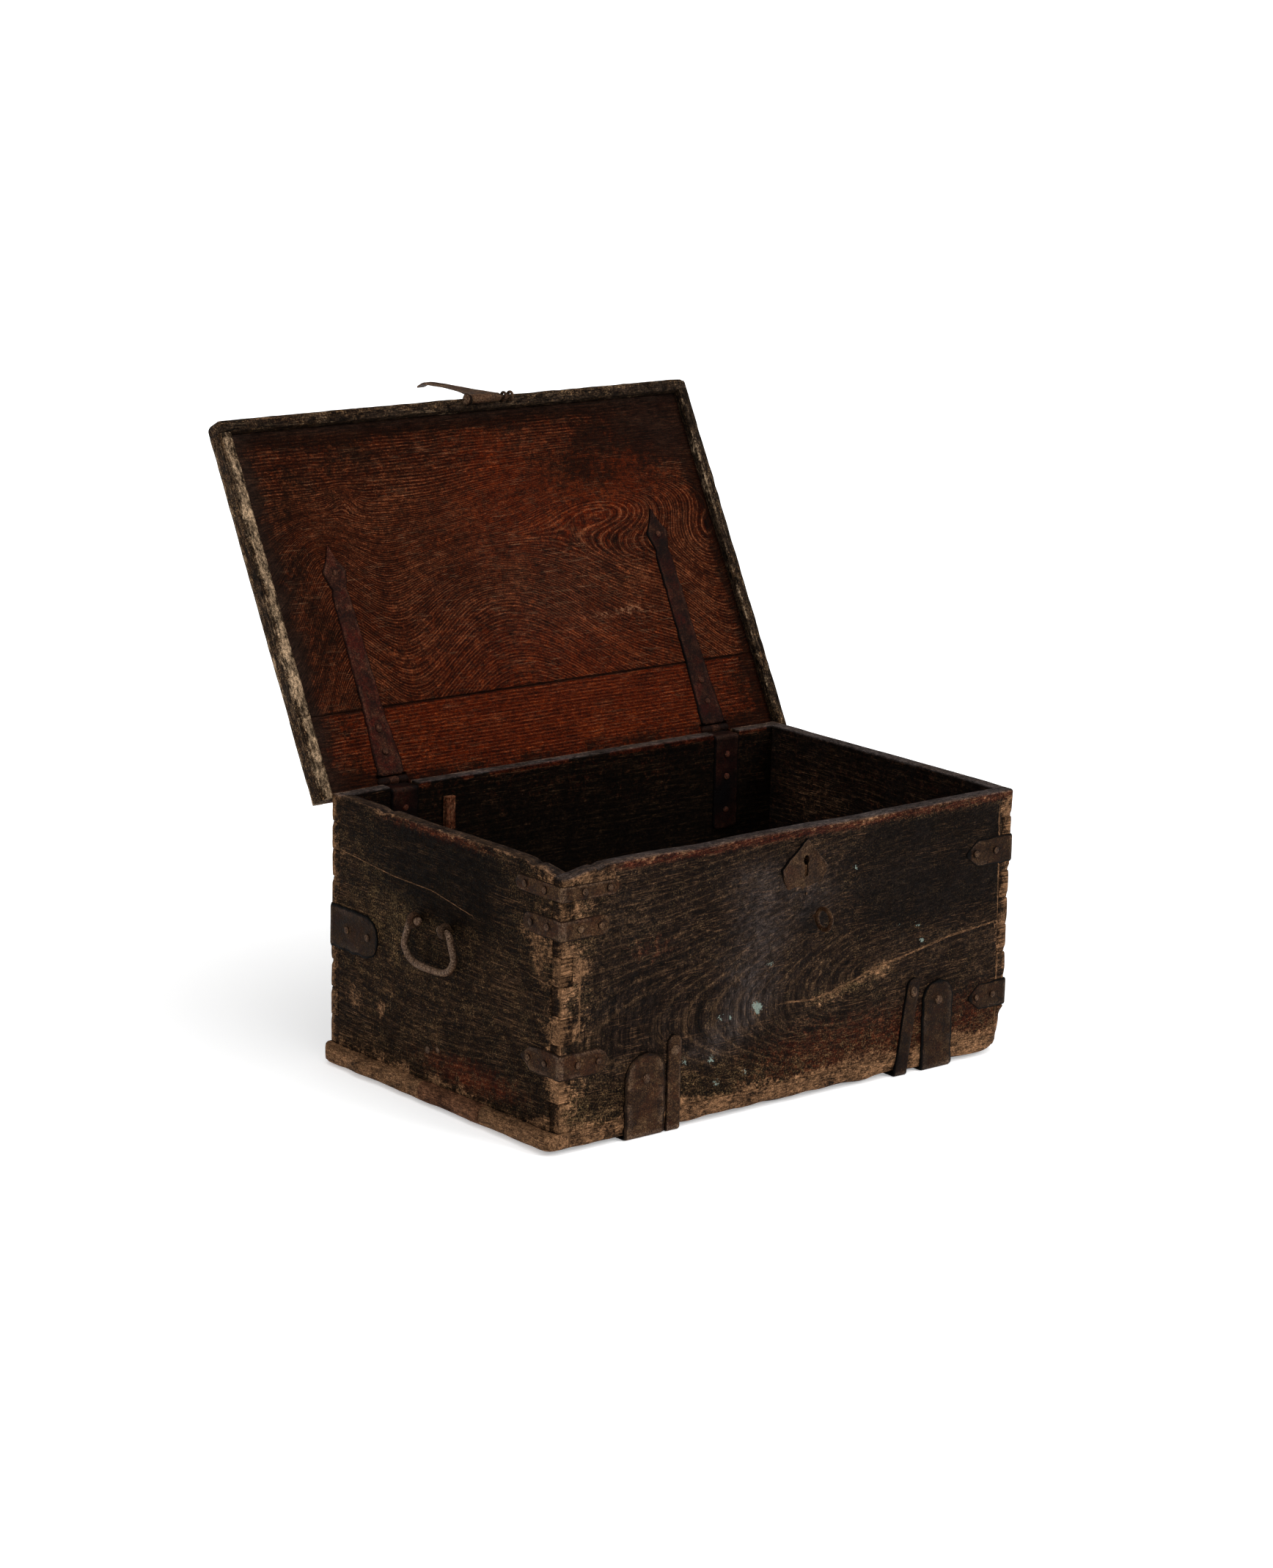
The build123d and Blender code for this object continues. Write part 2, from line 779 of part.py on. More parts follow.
def till_cleat():
    """A short upright strip left on the back wall from a till."""
    x, z = cleat_place
    with BuildPart() as piece:
        with Locations((x, inner_back - cleat_depth / 2, z)):
            Box(cleat_width, cleat_depth, cleat_height)
        chamfer(faces().sort_by(Axis.Y)[0].edges(), length=cleat_chamfer)
    save(piece, "till_cleat")


# ---------------------------------------------------------------- build all

front_board()
back_board()
side_board(-1, "left_side_board")
side_board(1, "right_side_board")
base_board()
base_edge_repair()
for strap_name in corner_straps:
    corner_strap(strap_name)
for strap_name in base_straps:
    base_strap(strap_name)
corner_strap_nails()
base_strap_nails()
left_side_nails()
for side_name, side_sign in (("left", -1), ("right", 1)):
    for end_name, end_sign in (("front", -1), ("back", 1)):
        handle_eye(side_sign, end_sign, f"{side_name}_handle_eye_{end_name}")
    handle(side_sign, f"{side_name}_handle")
    lid_leaf(side_sign, f"lid_hinge_leaf_{side_name}")
    body_leaf(side_sign, f"body_hinge_leaf_{side_name}")
    hinge_pin(side_sign, f"hinge_pin_{side_name}")
escutcheon()
escutcheon_nails()
lock_case()
lock_bolt()
lock_drill_pin()
lock_bolt_rail()
hasp()
hasp_pin()
hasp_eye_loops()
hasp_staple()
lid_boards_and_lips()
lid_leaf_nails()
body_leaf_nails()
till_cleat()
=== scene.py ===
"""The looks of a teak strongbox bound in wrought iron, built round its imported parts.

Lengths are millimetres until a mesh is made. Walls and base are drawn in the row's own frame.
The lid's pieces are drawn flat in the lid's frame: x along the hinge, s back from the hinge axis
(negative towards the lid's front), t up from the underside. They are then laid along the lid.
"""
import json
from functools import partial, reduce
from math import cos, pi, radians, sin

import bmesh
import bpy
import numpy as np
from mathutils import Matrix, Vector


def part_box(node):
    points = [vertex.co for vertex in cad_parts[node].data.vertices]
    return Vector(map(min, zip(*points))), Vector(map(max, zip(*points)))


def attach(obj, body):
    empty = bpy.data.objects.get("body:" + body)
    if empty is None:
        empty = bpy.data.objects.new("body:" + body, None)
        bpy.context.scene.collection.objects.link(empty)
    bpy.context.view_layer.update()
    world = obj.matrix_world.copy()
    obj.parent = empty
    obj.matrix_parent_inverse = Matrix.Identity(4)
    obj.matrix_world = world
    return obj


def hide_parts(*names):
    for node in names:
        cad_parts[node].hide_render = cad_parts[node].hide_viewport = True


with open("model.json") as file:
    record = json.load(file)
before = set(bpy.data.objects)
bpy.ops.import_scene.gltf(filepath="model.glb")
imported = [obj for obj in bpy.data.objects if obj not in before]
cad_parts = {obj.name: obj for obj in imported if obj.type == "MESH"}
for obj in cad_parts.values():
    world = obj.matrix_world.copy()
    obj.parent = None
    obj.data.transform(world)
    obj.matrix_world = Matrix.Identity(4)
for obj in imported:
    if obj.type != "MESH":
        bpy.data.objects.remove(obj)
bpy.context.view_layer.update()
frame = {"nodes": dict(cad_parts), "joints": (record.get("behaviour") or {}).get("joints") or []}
MM = 0.001

# ---------------------------------------------------------------- places, read from the frame


def box(node):
    """A CAD node's lowest and highest corner, in millimetres."""
    low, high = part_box(node)
    return np.array(low) / MM, np.array(high) / MM


joints = {joint["name"]: joint for joint in frame["joints"]}
hinge = np.array(joints["lid_hinge"]["pos_m"]) / MM
lean = radians(joints["lid_hinge"]["range_deg"][1])
lid_back = np.array([0, cos(lean), -sin(lean)])
lid_up = np.array([0, sin(lean), cos(lean)])
lid_axes = np.array([[1, 0, 0], lid_back, lid_up])


def node_points(node):
    """A CAD node's vertices, in millimetres."""
    return np.array([v.co for v in frame["nodes"][node].data.vertices]) / MM


def lid_box(node):
    """A lid node's lowest and highest corner in the lid's frame."""
    local = (node_points(node) - hinge) @ lid_axes.T
    return local.min(0), local.max(0)


def on_lid(points):
    """Lay points of the lid's frame along the lid."""
    return hinge + points @ lid_axes


front_low, front_high = box("front_board")
side_high = box("left_side_board")[1]
base_low, base_high = box("base_board")
half_width = front_high[0]
half_depth = side_high[1]
rim = front_high[2]
floor_top = base_high[2]
wall = front_high[1] - front_low[1]
inner_x = half_width - wall
inner_y = half_depth - wall
finger_count = 9
finger = (rim - floor_top) / finger_count

# ---------------------------------------------------------------- numbers


def noise(points, size, seed=0):
    """Smooth noise from -1 to 1, one value a point, in lumps of about the given size."""
    p = np.asarray(points, float) / np.asarray(size, float) + seed * 17.31
    cell = np.floor(p).astype(np.int64)
    f = p - cell
    f = f * f * (3 - 2 * f)
    total = np.zeros(len(p))
    for corner in np.ndindex(2, 2, 2):
        c = cell + corner
        h = c[:, 0] * 73856093 ^ c[:, 1] * 19349663 ^ c[:, 2] * 83492791 ^ seed * 2654435
        h = (h ^ (h >> 13)) * 1274126177 & 0x7FFFFFFF
        h = (h ^ (h >> 15)) * 668265263 & 0x7FFFFFFF
        weight = np.prod(np.where(corner, f, 1 - f), axis=1)
        total += weight * ((h >> 8 & 0xFFFF) / 32767.5 - 1)
    return total


def rough(points, size, seed=0, octaves=3):
    """Noise with finer noise on top of it."""
    return sum(noise(points, np.asarray(size) / 2**n, seed + n) / 2**n for n in range(octaves)) / 1.6


def ramp(value, start, end):
    """0 at start and 1 at end, turning smoothly between them."""
    t = np.clip((value - start) / (end - start), 0, 1)
    return t * t * (3 - 2 * t)


def bump(value, middle, reach):
    """1 at the middle, falling away over the given reach."""
    return np.exp(-((value - middle) / reach) ** 2)


def patch(a, b, middle_a, reach_a, middle_b, reach_b):
    """1 in the middle of a soft oval, falling away over its two reaches."""
    return bump(a, middle_a, reach_a) * bump(b, middle_b, reach_b)


def columns(*values):
    """Values side by side for each point, where a plain number counts for every point."""
    return np.stack(np.broadcast_arrays(*values), 1)


def look_of(wear, dust_and_sheen, red, dirt_and_shade):
    """Each point's wear, dust with painted sheen, redness, and dirt with painted shade, held between none and
    full.
    """
    return np.clip(columns(wear, dust_and_sheen, red, dirt_and_shade), 0, 1)


def lines(low, high, step, marks=(), near=(1.0, 3.0)):
    """Grid lines from low to high, drawn closer at both ends and at each mark."""
    ends = (low, high, *marks)
    stops = set(ends)
    for end in ends:
        stops |= {value for gap in near for value in (end - gap, end + gap) if low < value < high}
    stops = sorted(stops)
    kept = [stops[0]]
    for value in stops[1:]:
        if value - kept[-1] > 0.4 or value in ends:
            kept.append(value)
    filled = [kept[0]]
    for a, b in zip(kept, kept[1:]):
        count = max(1, round((b - a) / step))
        filled += [a + (b - a) * n / count for n in range(1, count + 1)]
    return np.array(filled)


# ---------------------------------------------------------------- meshes


def block(xs, ys, zs, empty=None):
    """The skin of a grid of cells, less those where empty(x, y, z) of the cell's middle is true."""
    middles = [(line[1:] + line[:-1]) / 2 for line in (xs, ys, zs)]
    grid = np.meshgrid(*middles, indexing="ij")
    full = np.ones(grid[0].shape, bool) if empty is None else ~empty(*grid)
    padded = np.pad(full, 1)
    counts = np.array([len(xs), len(ys), len(zs)])
    strides = np.array([counts[1] * counts[2], counts[2], 1])
    quads = []
    for axis in range(3):
        b, c = (axis + 1) % 3, (axis + 2) % 3
        for side in (0, 1):
            neighbour = np.roll(padded, 1 - 2 * side, axis)[1:-1, 1:-1, 1:-1]
            cells = np.argwhere(full & ~neighbour)
            cells[:, axis] += side
            first = cells @ strides
            loop = [first, first + strides[b], first + strides[b] + strides[c], first + strides[c]]
            quads.append(np.stack(loop if side else loop[::-1], 1))
    used, quads = np.unique(np.concatenate(quads), return_inverse=True)
    quads = quads.reshape(-1, 4)
    i, j, k = np.unravel_index(used, counts)
    return np.stack([xs[i], ys[j], zs[k]], 1), quads.tolist()


def soften(p, first, second, radius):
    """Round over the edge where two faces meet; each face is (axis, direction, position)."""
    reach = [radius - d * (at - p[:, axis]) for axis, d, at in (first, second)]
    near = (reach[0] > 0) & (reach[1] > 0)
    a, b = reach[0][near], reach[1][near]
    shrink = 1 - np.maximum(a, b) / np.hypot(a, b)
    p[near, first[0]] -= first[1] * a * shrink
    p[near, second[0]] -= second[1] * b * shrink


def edge_wear(p, first, second, reach):
    """1 on the edge where two faces meet, falling away over the given reach."""
    away = sum(np.abs(at - p[:, axis]) for axis, _, at in (first, second))
    return np.exp(-away / reach)


def piece(name, points, quads, slot, body, replaces, flat=None, ring=None, look=None, crack=None, more=None):
    """Make one mesh object that rides on a body and stands for its CAD nodes."""
    mesh = bpy.data.meshes.new(name)
    mesh.from_pydata((points * MM).tolist(), [], quads)
    mesh.validate()
    mesh.shade_smooth()
    count = len(points)
    layers = (
        ("flat", "FLOAT_VECTOR", "vector", flat, (count, 3)),
        ("ring", "FLOAT", "value", ring, count),
        ("look", "FLOAT_COLOR", "color", look, (count, 4)),
        ("crack", "FLOAT", "value", crack, count),
        ("more", "FLOAT_COLOR", "color", more, (count, 4)),
    )
    for layer, kind, field, values, shape in layers:
        if values is not None:
            attribute = mesh.attributes.new(layer, kind, "POINT")
            attribute.data.foreach_set(field, np.broadcast_to(values, shape).astype(np.float32).ravel())
    mesh.materials.append(materials[slot])
    made = bpy.data.objects.new(name, mesh)
    bpy.context.scene.collection.objects.link(made)
    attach(made, body)
    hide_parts(*replaces)


# ---------------------------------------------------------------- materials


def rgb(channels):
    """A colour given on the usual 0 to 255 scale, as linear light."""
    return tuple((channel / 255) ** 2.2 for channel in channels) + (1,)


GREY = [(level / 10, level / 10, level / 10, 1) for level in range(11)]


class Signal:
    """What a node puts out, and the sums it can take part in."""

    def __init__(self, shader, socket):
        self.shader = shader
        self.socket = socket

    def __add__(self, other):
        return self.shader.math("ADD", self, other)

    def __sub__(self, other):
        return self.shader.math("SUBTRACT", self, other)

    def __mul__(self, other):
        return self.shader.math("MULTIPLY", self, other)

    def between(self, start, end, low=0.0, high=1.0):
        """Low at start and high at end, straight between them and level outside."""
        inputs = {"Value": self, "From Min": start, "From Max": end, "To Min": low, "To Max": high}
        return self.shader.node("ShaderNodeMapRange", inputs, clamp=True)


class Shader:
    """A material and a few short ways to add nodes to it."""

    def __init__(self, name, **values):
        self.material = bpy.data.materials.new(name)
        self.material.use_nodes = True
        self.tree = self.material.node_tree
        self.surface = self.tree.nodes["Principled BSDF"]
        for socket, value in values.items():
            self.surface.inputs[socket.replace("_", " ")].default_value = value

    def feed(self, socket, value):
        if isinstance(value, Signal):
            self.tree.links.new(value.socket, socket)
        else:
            socket.default_value = value

    def outputs(self, kind, inputs=(), **settings):
        """Add a node and return all that it puts out."""
        made = self.tree.nodes.new(kind)
        for setting, value in settings.items():
            setattr(made, setting, value)
        for socket, value in dict(inputs).items():
            self.feed(made.inputs[socket], value)
        return {output.name: Signal(self, output) for output in made.outputs if output.enabled}

    def node(self, kind, inputs=(), **settings):
        """Add a node and return the first thing that it puts out."""
        return next(iter(self.outputs(kind, inputs, **settings).values()))

    def attribute(self, name, field):
        return self.outputs("ShaderNodeAttribute", attribute_name=name)[field]

    def channels(self, colour):
        return self.outputs("ShaderNodeSeparateColor", {"Color": colour}).values()

    def place(self):
        return self.outputs("ShaderNodeTexCoord")["Object"]

    def stretch(self, vector, scale, angle=0.0):
        return self.node("ShaderNodeMapping", {"Vector": vector, "Scale": scale, "Rotation": (0, 0, angle)})

    def noise(self, vector, scale=1.0, detail=2.0, roughness=0.5, distortion=0.0):
        inputs = {"Vector": vector, "Scale": scale, "Detail": detail}
        inputs |= {"Roughness": roughness, "Distortion": distortion}
        return self.node("ShaderNodeTexNoise", inputs)

    def math(self, operation, a, b=0.0, clamp=False):
        return self.node("ShaderNodeMath", {0: a, 1: b}, operation=operation, use_clamp=clamp)

    def mix(self, share, a, b, blend="MIX"):
        factor, first, second = 0, 6, 7
        inputs = {factor: share, first: a, second: b}
        return self.node("ShaderNodeMix", inputs, data_type="RGBA", blend_type=blend)

    def ramp(self, value, *stops):
        made = self.node("ShaderNodeValToRGB", {"Fac": value})
        elements = made.socket.node.color_ramp.elements
        while len(elements) < len(stops):
            elements.new(0.5)
        for element, (position, colour) in zip(elements, stops):
            element.position = position
            element.color = colour
        return made

    def finish(self, colour, roughness, height, depth):
        """Use the colour and the roughness, and the height as a bump of the given depth."""
        self.feed(self.surface.inputs["Base Color"], colour)
        self.feed(self.surface.inputs["Roughness"], roughness)
        inputs = {"Height": height, "Strength": 1.0, "Distance": depth * MM}
        self.feed(self.surface.inputs["Normal"], self.node("ShaderNodeBump", inputs))
        return self.material


def wood(name, deep, body, light, red, rosy, worn, crumb, dust_and_sheen, soot,
         band=1.0, period=0.9, relief=0.9, blots=0.7):
    """Old teak. It follows each board's own grain, and each point's wear, dust with painted sheen, redness,
    and dirt with painted shade.
    """
    deep, body, light, red, rosy = map(rgb, (deep, body, light, red, rosy))
    worn, crumb, dust_and_sheen, soot = map(rgb, (worn, crumb, dust_and_sheen, soot))
    s = Shader(name, Specular_IOR_Level=0.025)
    flat = s.attribute("flat", "Vector")
    ring = s.attribute("ring", "Fac")
    rubbed, dusty_with_sheen, redness = s.channels(s.attribute("look", "Color"))
    dirt_and_shade = s.attribute("look", "Alpha")
    crumbly, smeared, specked = s.channels(s.attribute("more", "Color"))
    scratchy = s.attribute("more", "Alpha")
    x, _, z = s.outputs("ShaderNodeSeparateXYZ", {"Vector": flat}).values()
    grain = s.node("ShaderNodeCombineXYZ", {0: x, 1: ring, 2: z})

    def grained(along, across, detail, roughness):
        """Noise with its lumps stretched along the grain."""
        return s.noise(s.stretch(grain, (along, across, across)), 1.0, detail, roughness)

    # growth bands, fibres and pores
    turn = s.math("FRACT", s.math("DIVIDE", ring, period) + grained(0.06, 0.5, 4.0, 0.6) * 1.2)
    bands = s.ramp(turn, (0.0, GREY[0]), (0.1, GREY[5]), (0.5, GREY[10]), (0.85, GREY[6]), (1.0, GREY[0]))
    fibres = grained(0.4, 12.0, 5.0, 0.7).between(0.36, 0.64)
    streaks = grained(0.11, 2.6, 4.0, 0.65).between(0.36, 0.64)
    pores = grained(1.4, 17.0, 2.0, 0.6).between(0.56, 0.64)
    patches = s.noise(flat, 0.17, 6.0, 0.66, 0.5).between(0.38, 0.62)
    mottle = s.noise(flat, 1.4, 8.0, 0.8, 0.3).between(0.35, 0.65)
    grit = s.noise(flat, 4.0, 5.0, 0.85)
    speckle = grit.between(0.35, 0.65)
    tone = bands * (0.2 * band) + fibres * (0.08 + 0.16 * band) + streaks * (0.04 + 0.14 * band)
    tone = tone + patches * 0.18 + mottle * 0.34 + speckle * 0.28
    top = 0.92 + 0.5 * band
    tone = tone.between(0.22 * top, 0.86 * top)
    colour = s.ramp(tone, (0.05, deep), (0.55, body), (1.0, light))

    # redder, less weathered wood
    share = (redness + mottle.between(0.0, 1.0, -0.3, 0.3)).between(0.2, 0.8) * redness.between(0.0, 0.15)
    colour = s.mix(share, colour, s.ramp(tone, (0.05, deep), (0.6, red), (1.0, rosy)))

    # hair-thin paler lines along the grain
    hair = s.math("ABSOLUTE", turn - 0.5).between(0.04, 0.06 + 0.07 * band, 1.0, 0.0)
    hair = hair * (streaks + mottle).between(0.5, 1.3, 0.25, 1.0) * crumbly.between(0.45, 0.7, 1.0, 0.45)
    strand = grained(0.16, 6.0, 3.0, 0.6).between(0.59, 0.65) * s.noise(flat, 0.3, 3.0).between(0.42, 0.6)
    hair = s.math("MAXIMUM", hair * (0.4 + 0.1 * band), strand * 0.6) * speckle.between(0.0, 1.0, 0.4, 0.9)
    colour = s.mix(hair, colour, light)

    # black dirt that gathers in patches, and painted shade in the hollows that the dirt channel marks
    cover = dirt_and_shade + patches.between(0.0, 1.0, -0.3, 0.3) + mottle.between(0.0, 1.0, 0.22, -0.22)
    cover = cover.between(0.3, 0.85) * dirt_and_shade.between(0.0, 0.1, 0.0, 0.86)
    colour = s.mix(cover, colour, s.mix(fibres, soot, s.mix(0.25, soot, body)))

    # crumbs and scratches that show paler wood
    crumbs = grit + crumbly.between(0.0, 1.0, -0.06, 0.12)
    crumbs = crumbs + s.noise(flat, 0.45, 6.0, 0.75).between(0.35, 0.65, -0.07, 0.04)
    strokes = [
        s.noise(s.stretch(flat, (length, 13.0, 13.0), angle), 1.0, 1.0, 0.4).between(0.7, 0.75)
        for angle, length in ((0.5, 0.2), (-0.7, 0.28), (1.35, 0.24), (-0.2, 0.16), (0.95, 0.3))
    ]
    scratches = reduce(partial(s.math, "MAXIMUM"), strokes)
    scratches = scratches * (s.noise(flat, 0.25, 2.0).between(0.42, 0.62, 0.0, 0.6) + scratchy)
    colour = s.mix(crumbs.between(0.58, 0.66) * dirt_and_shade.between(0.5, 1.0, 0.6, 0.12), colour, crumb)
    colour = s.mix(scratches * dirt_and_shade.between(0.5, 1.0, 0.65, 0.25), colour, worn)

    # worn edges
    wear = (rubbed + (mottle * 0.5 + fibres * 0.2 + patches * 0.25) - 0.66).between(0.03, 0.27, 0.0, 0.88)
    pale = ((mottle + fibres) + (speckle + patches)).between(0.9, 3.0)
    colour = s.mix(wear * rubbed.between(0.02, 0.15), colour, s.mix(pale, s.mix(0.5, deep, body), worn))
    colour = s.mix(grit.between(0.36, 0.43, 0.8, 0.0), colour, deep)

    # grey dust and smears of it; where the dust channel marks rim tops and lid edges, the grey is a painted
    # sheen
    colour = s.mix(dusty_with_sheen * (patches + mottle).between(0.4, 1.4, 0.35, 1.0) * 0.85, colour, dust_and_sheen)
    smear = smeared * s.noise(flat, 0.5, 4.0, 0.6, 0.6).between(0.3, 0.65, 0.2, 1.0)
    colour = s.mix(smear * grit.between(0.35, 0.65, 0.35, 0.6), colour, dust_and_sheen)
    colour = s.mix(pores * 0.5, colour, deep)

    # light and dark grains of every size, longer along the grain on plainer boards
    for shade in (
        grained(2.9 - 1.9 * band, 3.4, 6.0, 0.82).between(0.36, 0.64, 0.3, 1.72),
        grained(0.8, 1.9, 4.0, 0.7).between(0.36, 0.62, 1 - 0.58 * blots, 1 + 0.5 * blots),
        grained(9.0 - 3.0 * band, 10.0, 2.0, 0.6).between(0.36, 0.64, 0.55, 1.45),
    ):
        colour = s.mix(1.0, colour, shade, "MULTIPLY")

    # specks of pale green paint or mould
    speck = (specked + s.noise(flat, 3.5, 4.0, 0.7).between(0.3, 0.7, -0.45, 0.45)).between(0.44, 0.54)
    colour = s.mix(speck * speckle.between(0.1, 0.7, 0.4, 0.8), colour, rgb((132, 146, 136)))

    # splits, drawn where the signed distance to one passes through nothing
    split = s.attribute("crack", "Fac") + s.noise(flat, 2.6, 6.0, 0.8).between(0.3, 0.7, -1.5, 1.5)
    away = s.math("ABSOLUTE", split)
    gap = away.between(0.12, 0.5, 1.0, 0.0) * s.noise(flat, 0.9, 2.0).between(0.4, 0.55)
    edge = s.math("SUBTRACT", away.between(0.5, 1.5, 1.0, 0.0), gap, clamp=True)
    colour = s.mix(edge * mottle.between(0.1, 0.7, 0.2, 0.8), colour, worn)
    colour = s.mix(gap, colour, rgb((8, 6, 5)))

    height = fibres * 0.3 + mottle * 0.55 - pores * 0.2 + bands * (0.12 * band) + grit * 0.5
    height = height - scratches * 0.18 - gap * 1.2
    roughness = (mottle - redness * 0.15).between(0.0, 1.0, 0.5, 0.85)
    return s.finish(colour, roughness, height, relief)


def iron(name, deep, body, light, rust, bright, crust):
    """Old hand-forged iron: rusted, pitted, dusty in the hollows and rubbed along its edges. Its look also
    paints shade dark and paints highlights bright.
    """
    deep, body, light, rust, bright, crust = map(rgb, (deep, body, light, rust, bright, crust))
    s = Shader(name, Metallic=0.05, Specular_IOR_Level=0.05)
    place = s.place()
    rubbed, soot_and_shade, _ = s.channels(s.attribute("look", "Color"))
    blotches = s.noise(place, 55.0, 7.0, 0.74, 0.5).between(0.34, 0.66)
    grit = s.noise(place, 480.0, 5.0, 0.8).between(0.34, 0.66)
    cells = s.node("ShaderNodeTexVoronoi", {"Vector": place, "Scale": 260.0})
    pits = s.noise(place, 70.0, 3.0).between(0.45, 0.6) * cells.between(0.08, 0.36, 1.0, 0.0)
    tone = blotches * 0.55 + grit * 0.45
    colour = s.ramp(tone, (0.05, deep), (0.5, body), (0.95, light))
    rusty = s.noise(place, 26.0, 6.0, 0.7, 0.6).between(0.48, 0.6, 0.0, 0.7)
    colour = s.mix(rusty, colour, s.mix(grit, s.mix(0.5, deep, rust), rust))
    crusted = s.noise(place, 620.0, 3.0, 0.8) + blotches.between(0.0, 1.0, -0.06, 0.06)
    colour = s.mix(crusted.between(0.56, 0.66, 0.0, 0.6), colour, crust)
    rubbed = rubbed * grit.between(0.2, 0.9)
    # rubbed bright metal, which on the bail's top, the staple ring's right side and the nail crowns is a
    # painted highlight
    colour = s.mix(rubbed * 0.75, colour, bright)
    # pits, soot and painted shade take the deep colour
    colour = s.mix(s.math("MAXIMUM", pits, soot_and_shade), colour, deep)
    shade = s.noise(place, 330.0, 5.0, 0.8).between(0.36, 0.64, 0.45, 1.6)
    colour = s.mix(1.0, colour, shade, "MULTIPLY")
    roughness = (tone - rubbed * 0.6).between(-0.3, 1.0, 0.26, 0.85)
    height = blotches * 0.8 + grit * 0.45 - pits * 0.6
    return s.finish(colour, roughness, height, 0.6)


materials = {
    "aged_teak": wood(
        "aged_teak", deep=(6, 4, 3), body=(31, 22, 16), light=(92, 70, 50), red=(64, 28, 17),
        rosy=(112, 66, 44), worn=(146, 108, 78), crumb=(112, 90, 62), dust_and_sheen=(74, 67, 65), soot=(10, 8, 6),
        band=0.5),
    "lid_teak": wood(
        "lid_teak", deep=(11, 3, 1), body=(48, 20, 8), light=(122, 75, 50), red=(72, 25, 5),
        rosy=(116, 55, 24), worn=(140, 104, 78), crumb=(108, 76, 54), dust_and_sheen=(56, 48, 42), soot=(15, 11, 7),
        band=1.1, period=0.46, relief=0.7, blots=0.25),
    "lip_teak": wood(
        "lip_teak", deep=(6, 4, 2), body=(42, 28, 18), light=(116, 84, 56), red=(90, 46, 28),
        rosy=(116, 74, 54), worn=(164, 138, 110), crumb=(150, 118, 84), dust_and_sheen=(90, 78, 68), soot=(12, 8, 6),
        band=0.2, blots=1.5),
    "repair_teak": wood(
        "repair_teak", deep=(16, 8, 5), body=(54, 32, 23), light=(94, 64, 48), red=(90, 44, 28),
        rosy=(120, 74, 52), worn=(120, 84, 62), crumb=(104, 80, 58), dust_and_sheen=(80, 70, 62), soot=(18, 12, 9),
        band=0.7),
    "wrought_iron": iron(
        "wrought_iron", deep=(6, 4, 3), body=(45, 30, 20), light=(86, 65, 47),
        rust=(62, 36, 22), bright=(134, 110, 92), crust=(110, 86, 60)),
    "hinge_iron": iron(
        "hinge_iron", deep=(10, 4, 3), body=(38, 19, 13), light=(74, 44, 32),
        rust=(66, 22, 13), bright=(104, 74, 58), crust=(92, 66, 50)),
    "lock_iron": iron(
        "lock_iron", deep=(12, 9, 7), body=(30, 24, 20), light=(54, 45, 39),
        rust=(56, 33, 22), bright=(86, 76, 68), crust=(80, 64, 50)),
}

# ---------------------------------------------------------------- camera, light and floor


def camera():
    """The viewpoint: from the front left, a little above the lid's hinge, long lens."""
    yaw, pitch, roll = radians(39.794), radians(13.5), radians(1.39)
    ahead = Vector((sin(yaw) * cos(pitch), cos(yaw) * cos(pitch), -sin(pitch)))
    level = Vector((cos(yaw), -sin(yaw), 0))
    above = level.cross(ahead)
    right = level * cos(roll) + above * sin(roll)
    up = above * cos(roll) - level * sin(roll)
    data = bpy.data.cameras.new("camera")
    data.sensor_width = 36
    data.lens = 94.86
    made = bpy.data.objects.new("camera", data)
    rows = Matrix((right, up, -ahead)).transposed().to_4x4()
    made.matrix_world = Matrix.Translation((-3.3478, -3.9383, 1.6055)) @ rows
    bpy.context.scene.collection.objects.link(made)
    bpy.context.scene.camera = made


def sun(name, toward, spread, power):
    """A light as wide as the given angle, coming from the direction given."""
    data = bpy.data.lights.new(name, "SUN")
    data.angle = radians(spread)
    data.energy = power
    made = bpy.data.objects.new(name, data)
    made.rotation_mode = "QUATERNION"
    made.rotation_quaternion = Vector(toward).to_track_quat("Z", "Y")
    bpy.context.scene.collection.objects.link(made)


def studio():
    """A wide white floor, white all round for the eye, and two broad soft lights."""
    mesh = bpy.data.meshes.new("floor")
    reach = 40
    corners = [(-reach, -reach, 0), (reach, -reach, 0), (reach, reach, 0), (-reach, reach, 0)]
    mesh.from_pydata(corners, [], [(0, 1, 2, 3)])
    floor = bpy.data.objects.new("floor", mesh)
    bpy.context.scene.collection.objects.link(floor)
    s = Shader("floor_paper", Specular_IOR_Level=0.1, Emission_Color=(1, 1, 1, 1), Emission_Strength=0.36)
    colour = s.mix(s.noise(s.place(), 3.0, 3.0), rgb((246, 246, 246)), rgb((250, 250, 250)))
    mesh.materials.append(s.finish(colour, 0.9, s.noise(s.place(), 300.0), 0.05))
    world = bpy.data.worlds.new("studio")
    world.use_nodes = True
    bpy.context.scene.world = world
    tree = world.node_tree
    seen = tree.nodes.new("ShaderNodeLightPath").outputs["Is Camera Ray"]
    strength = tree.nodes.new("ShaderNodeMapRange")
    strength.inputs["To Min"].default_value = 0.3
    tree.links.new(seen, strength.inputs["Value"])
    background = tree.nodes["Background"]
    background.inputs["Color"].default_value = (1, 1, 1, 1)
    tree.links.new(strength.outputs[0], background.inputs["Strength"])
    sun("top_light", (0.1, -0.25, 1.0), 60, 1.5)
    sun("key_light", (0.4, -0.85, 0.6), 22, 1.6)
    sun("fill_light", (-0.9, -0.3, 0.6), 60, 0.9)
    bpy.context.scene.view_settings.view_transform = "Standard"


camera()
studio()

# ---------------------------------------------------------------- walls

